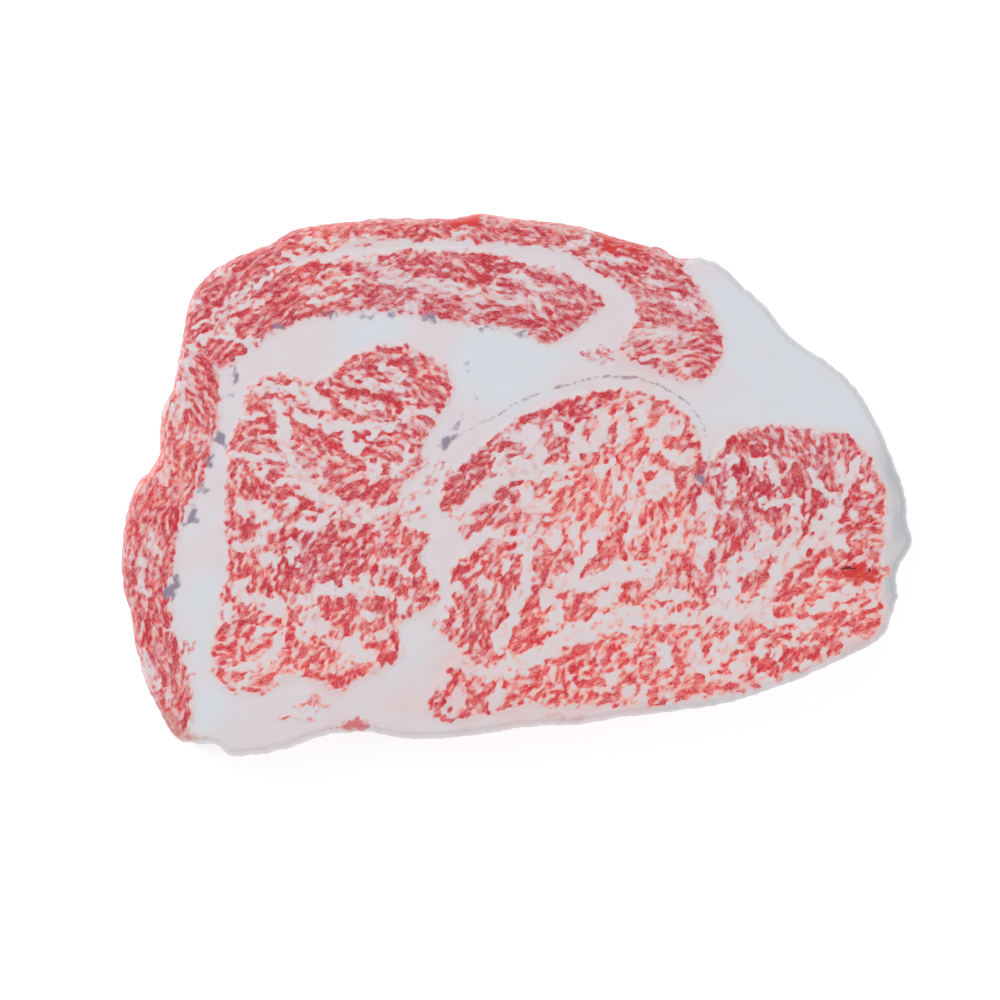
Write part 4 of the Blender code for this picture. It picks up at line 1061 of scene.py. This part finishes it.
fine_rim = closed_curve(RIM, 1.0)
perimeter = 8 * RINGS
fine_rim = np.roll(fine_rim, -np.argmin(np.hypot(*(fine_rim - GRID_CORNER).T)), axis=0)
turning = np.linspace(0, len(fine_rim), perimeter, endpoint=False)
whole_turn = np.vstack([fine_rim, fine_rim[:1]])
even_rim = np.column_stack([np.interp(turning, np.arange(len(whole_turn)), whole_turn[:, k]) for k in (0, 1)])
face_shares = 1 - np.linspace(0, 1, FACE_ROWS) ** ROW_CROWDING
back_shares = 1 - (1 - np.arange(1, BACK_ROWS + 1) / BACK_ROWS) ** ROW_CROWDING
wall_rows = [
    (rounding * (1 - np.sqrt(1 - share**squareness)), WALL_MIDDLE + (end - WALL_MIDDLE) * share)
    for shares, rounding, squareness, end in (
        (face_shares, RIM_ROUNDING, RIM_SQUARENESS, FAT_FACE),
        (back_shares, BACK_ROUNDING, BACK_SQUARENESS, BACK_REST),
    )
    for share in shares
]
nicks = np.random.default_rng(81).standard_normal(perimeter)
nicks = sum(np.roll(nicks, k) * share for k, share in ((-1, 0.5), (0, 1.0), (1, 0.5)))
nicks = NICK_DEPTH * np.clip(0.5 + 0.4 * nicks, 0, 2)
wall_paths = [moved_in(even_rim, inside + RIM_INSET + nicks)[::-1] for inside, height in wall_rows]
face_x, face_y, face_quads, face_edge = ring_grid(wall_paths[0])
back_x, back_y, back_quads, back_edge = ring_grid(wall_paths[-1])
edge_near = read_map(rim_depth, face_x, face_y)
cover = eased(read_map(deepest, face_x, face_y), -1.0, 1.0) * eased(edge_near, 3.2, 4.5)
lift = read_map(face_cloud, face_x, face_y) * eased(edge_near, 3.2, 6)
middle_paths = wall_paths[1:-1]
middle_heights = [height for inside, height in wall_rows[1:-1]]
x = np.concatenate([face_x, *[path[:, 0] for path in middle_paths], back_x])
y = np.concatenate([face_y, *[path[:, 1] for path in middle_paths], back_y])
height = np.concatenate([
    FAT_FACE + lift - COVERED_SINK * cover,
    *[np.full(perimeter, row_height) for row_height in middle_heights],
    np.full(back_x.size, BACK_REST),
])
back_start = face_x.size + perimeter * len(middle_paths)
loops = [face_edge]
loops += [face_x.size + k * perimeter + np.arange(perimeter) for k in range(len(middle_paths))]
loops.append(back_start + back_edge)
wall_quads = [
    np.column_stack([upper, lower, np.roll(lower, -1), np.roll(upper, -1)])
    for upper, lower in zip(loops, loops[1:])
]


def round_the_rim(seed, size):
    """Smooth random values round the rim: white noise with its short waves faded out."""
    noise = np.fft.fft(np.random.default_rng(seed).standard_normal(perimeter))
    return levelled(np.fft.ifft(noise * np.exp(-((np.fft.fftfreq(perimeter) * CLOUD_FADE * size) ** 2))).real)


def for_each_corner(by_row):
    """A number for each row of the wall, given to every corner of the row."""
    return np.repeat(by_row, perimeter, axis=1).reshape(-1, 1)


# The wall reads the maps of the face a little way in from the rim.
down = FAT_FACE - np.array(middle_heights)[:, None]
loosened = eased(down, 0, 6)
sway = GRAIN_SWAY * loosened * np.sin(down / GRAIN_WAVES[0] + WAVE_STARTS * round_the_rim(82, 14))
inward = RIM_ROUNDING + GRAIN_INWARD * down
bulge = np.sin(down / GRAIN_WAVES[1] + WAVE_STARTS * round_the_rim(83, 9))
inward = inward + GRAIN_BULGE * loosened * bulge
along = np.arange(perimeter)
wall_reads = []
for row_sway, row_inward in zip(sway, inward):
    path = moved_in(even_rim, row_inward)[::-1]
    wall_reads.append([np.interp(along + row_sway, along, path[:, k], period=perimeter) for k in (0, 1)])
read_x = np.concatenate([face_x, *[read[0] for read in wall_reads], back_x])
read_y = np.concatenate([face_y, *[read[1] for read in wall_reads], back_y])
slab_looks = {
    attribute: np.column_stack([read_map(values, read_x, read_y) for values in maps])
    for attribute, maps in PAINT_MAPS.items()
}
on_wall = slice(face_x.size, back_start)
skin_share = eased(read_map(thin_depth, read_x[on_wall], read_y[on_wall]), -1.0, 1.0)[:, None]
slab_looks["beef"][on_wall, :2] = slab_looks["beef"][on_wall, :2] * skin_share - 2.2 * (1 - skin_share)
# The marks of the cut face end a few millimetres down the wall, its raw spots further down, and its fat is
# more even there. On the right of the cut, just under its edge, the wall's fat gets painted grey shade.
low_down = for_each_corner(eased(down, 1, 4))
slab_looks["marks"][on_wall] -= MARK_FADE * low_down
slab_looks["blood"][on_wall, :1] -= MARK_FADE * for_each_corner(eased(down, 4, 14))
slab_looks["mood"][on_wall, 2:] -= MARK_FADE * low_down
slab_looks["fat"][on_wall] *= 1 - 0.6 * low_down
# Painted shade: a band of grey on the fat just under the top edge of the wall, on the right.
shade_below_edge = for_each_corner(eased(down, 0, 0.8) * (1 - eased(down, 3, 9)))
slab_looks["fat"][on_wall, 1:2] += 0.5 * shade_below_edge * eased(read_x[on_wall], 38, 50)[:, None]
dressed(
    "fat_slab",
    placed(x, y, height),
    np.vstack([face_quads, back_quads[:, ::-1] + back_start, *wall_quads]),
    len(face_quads),
    len(back_quads),
    slab_looks,
)
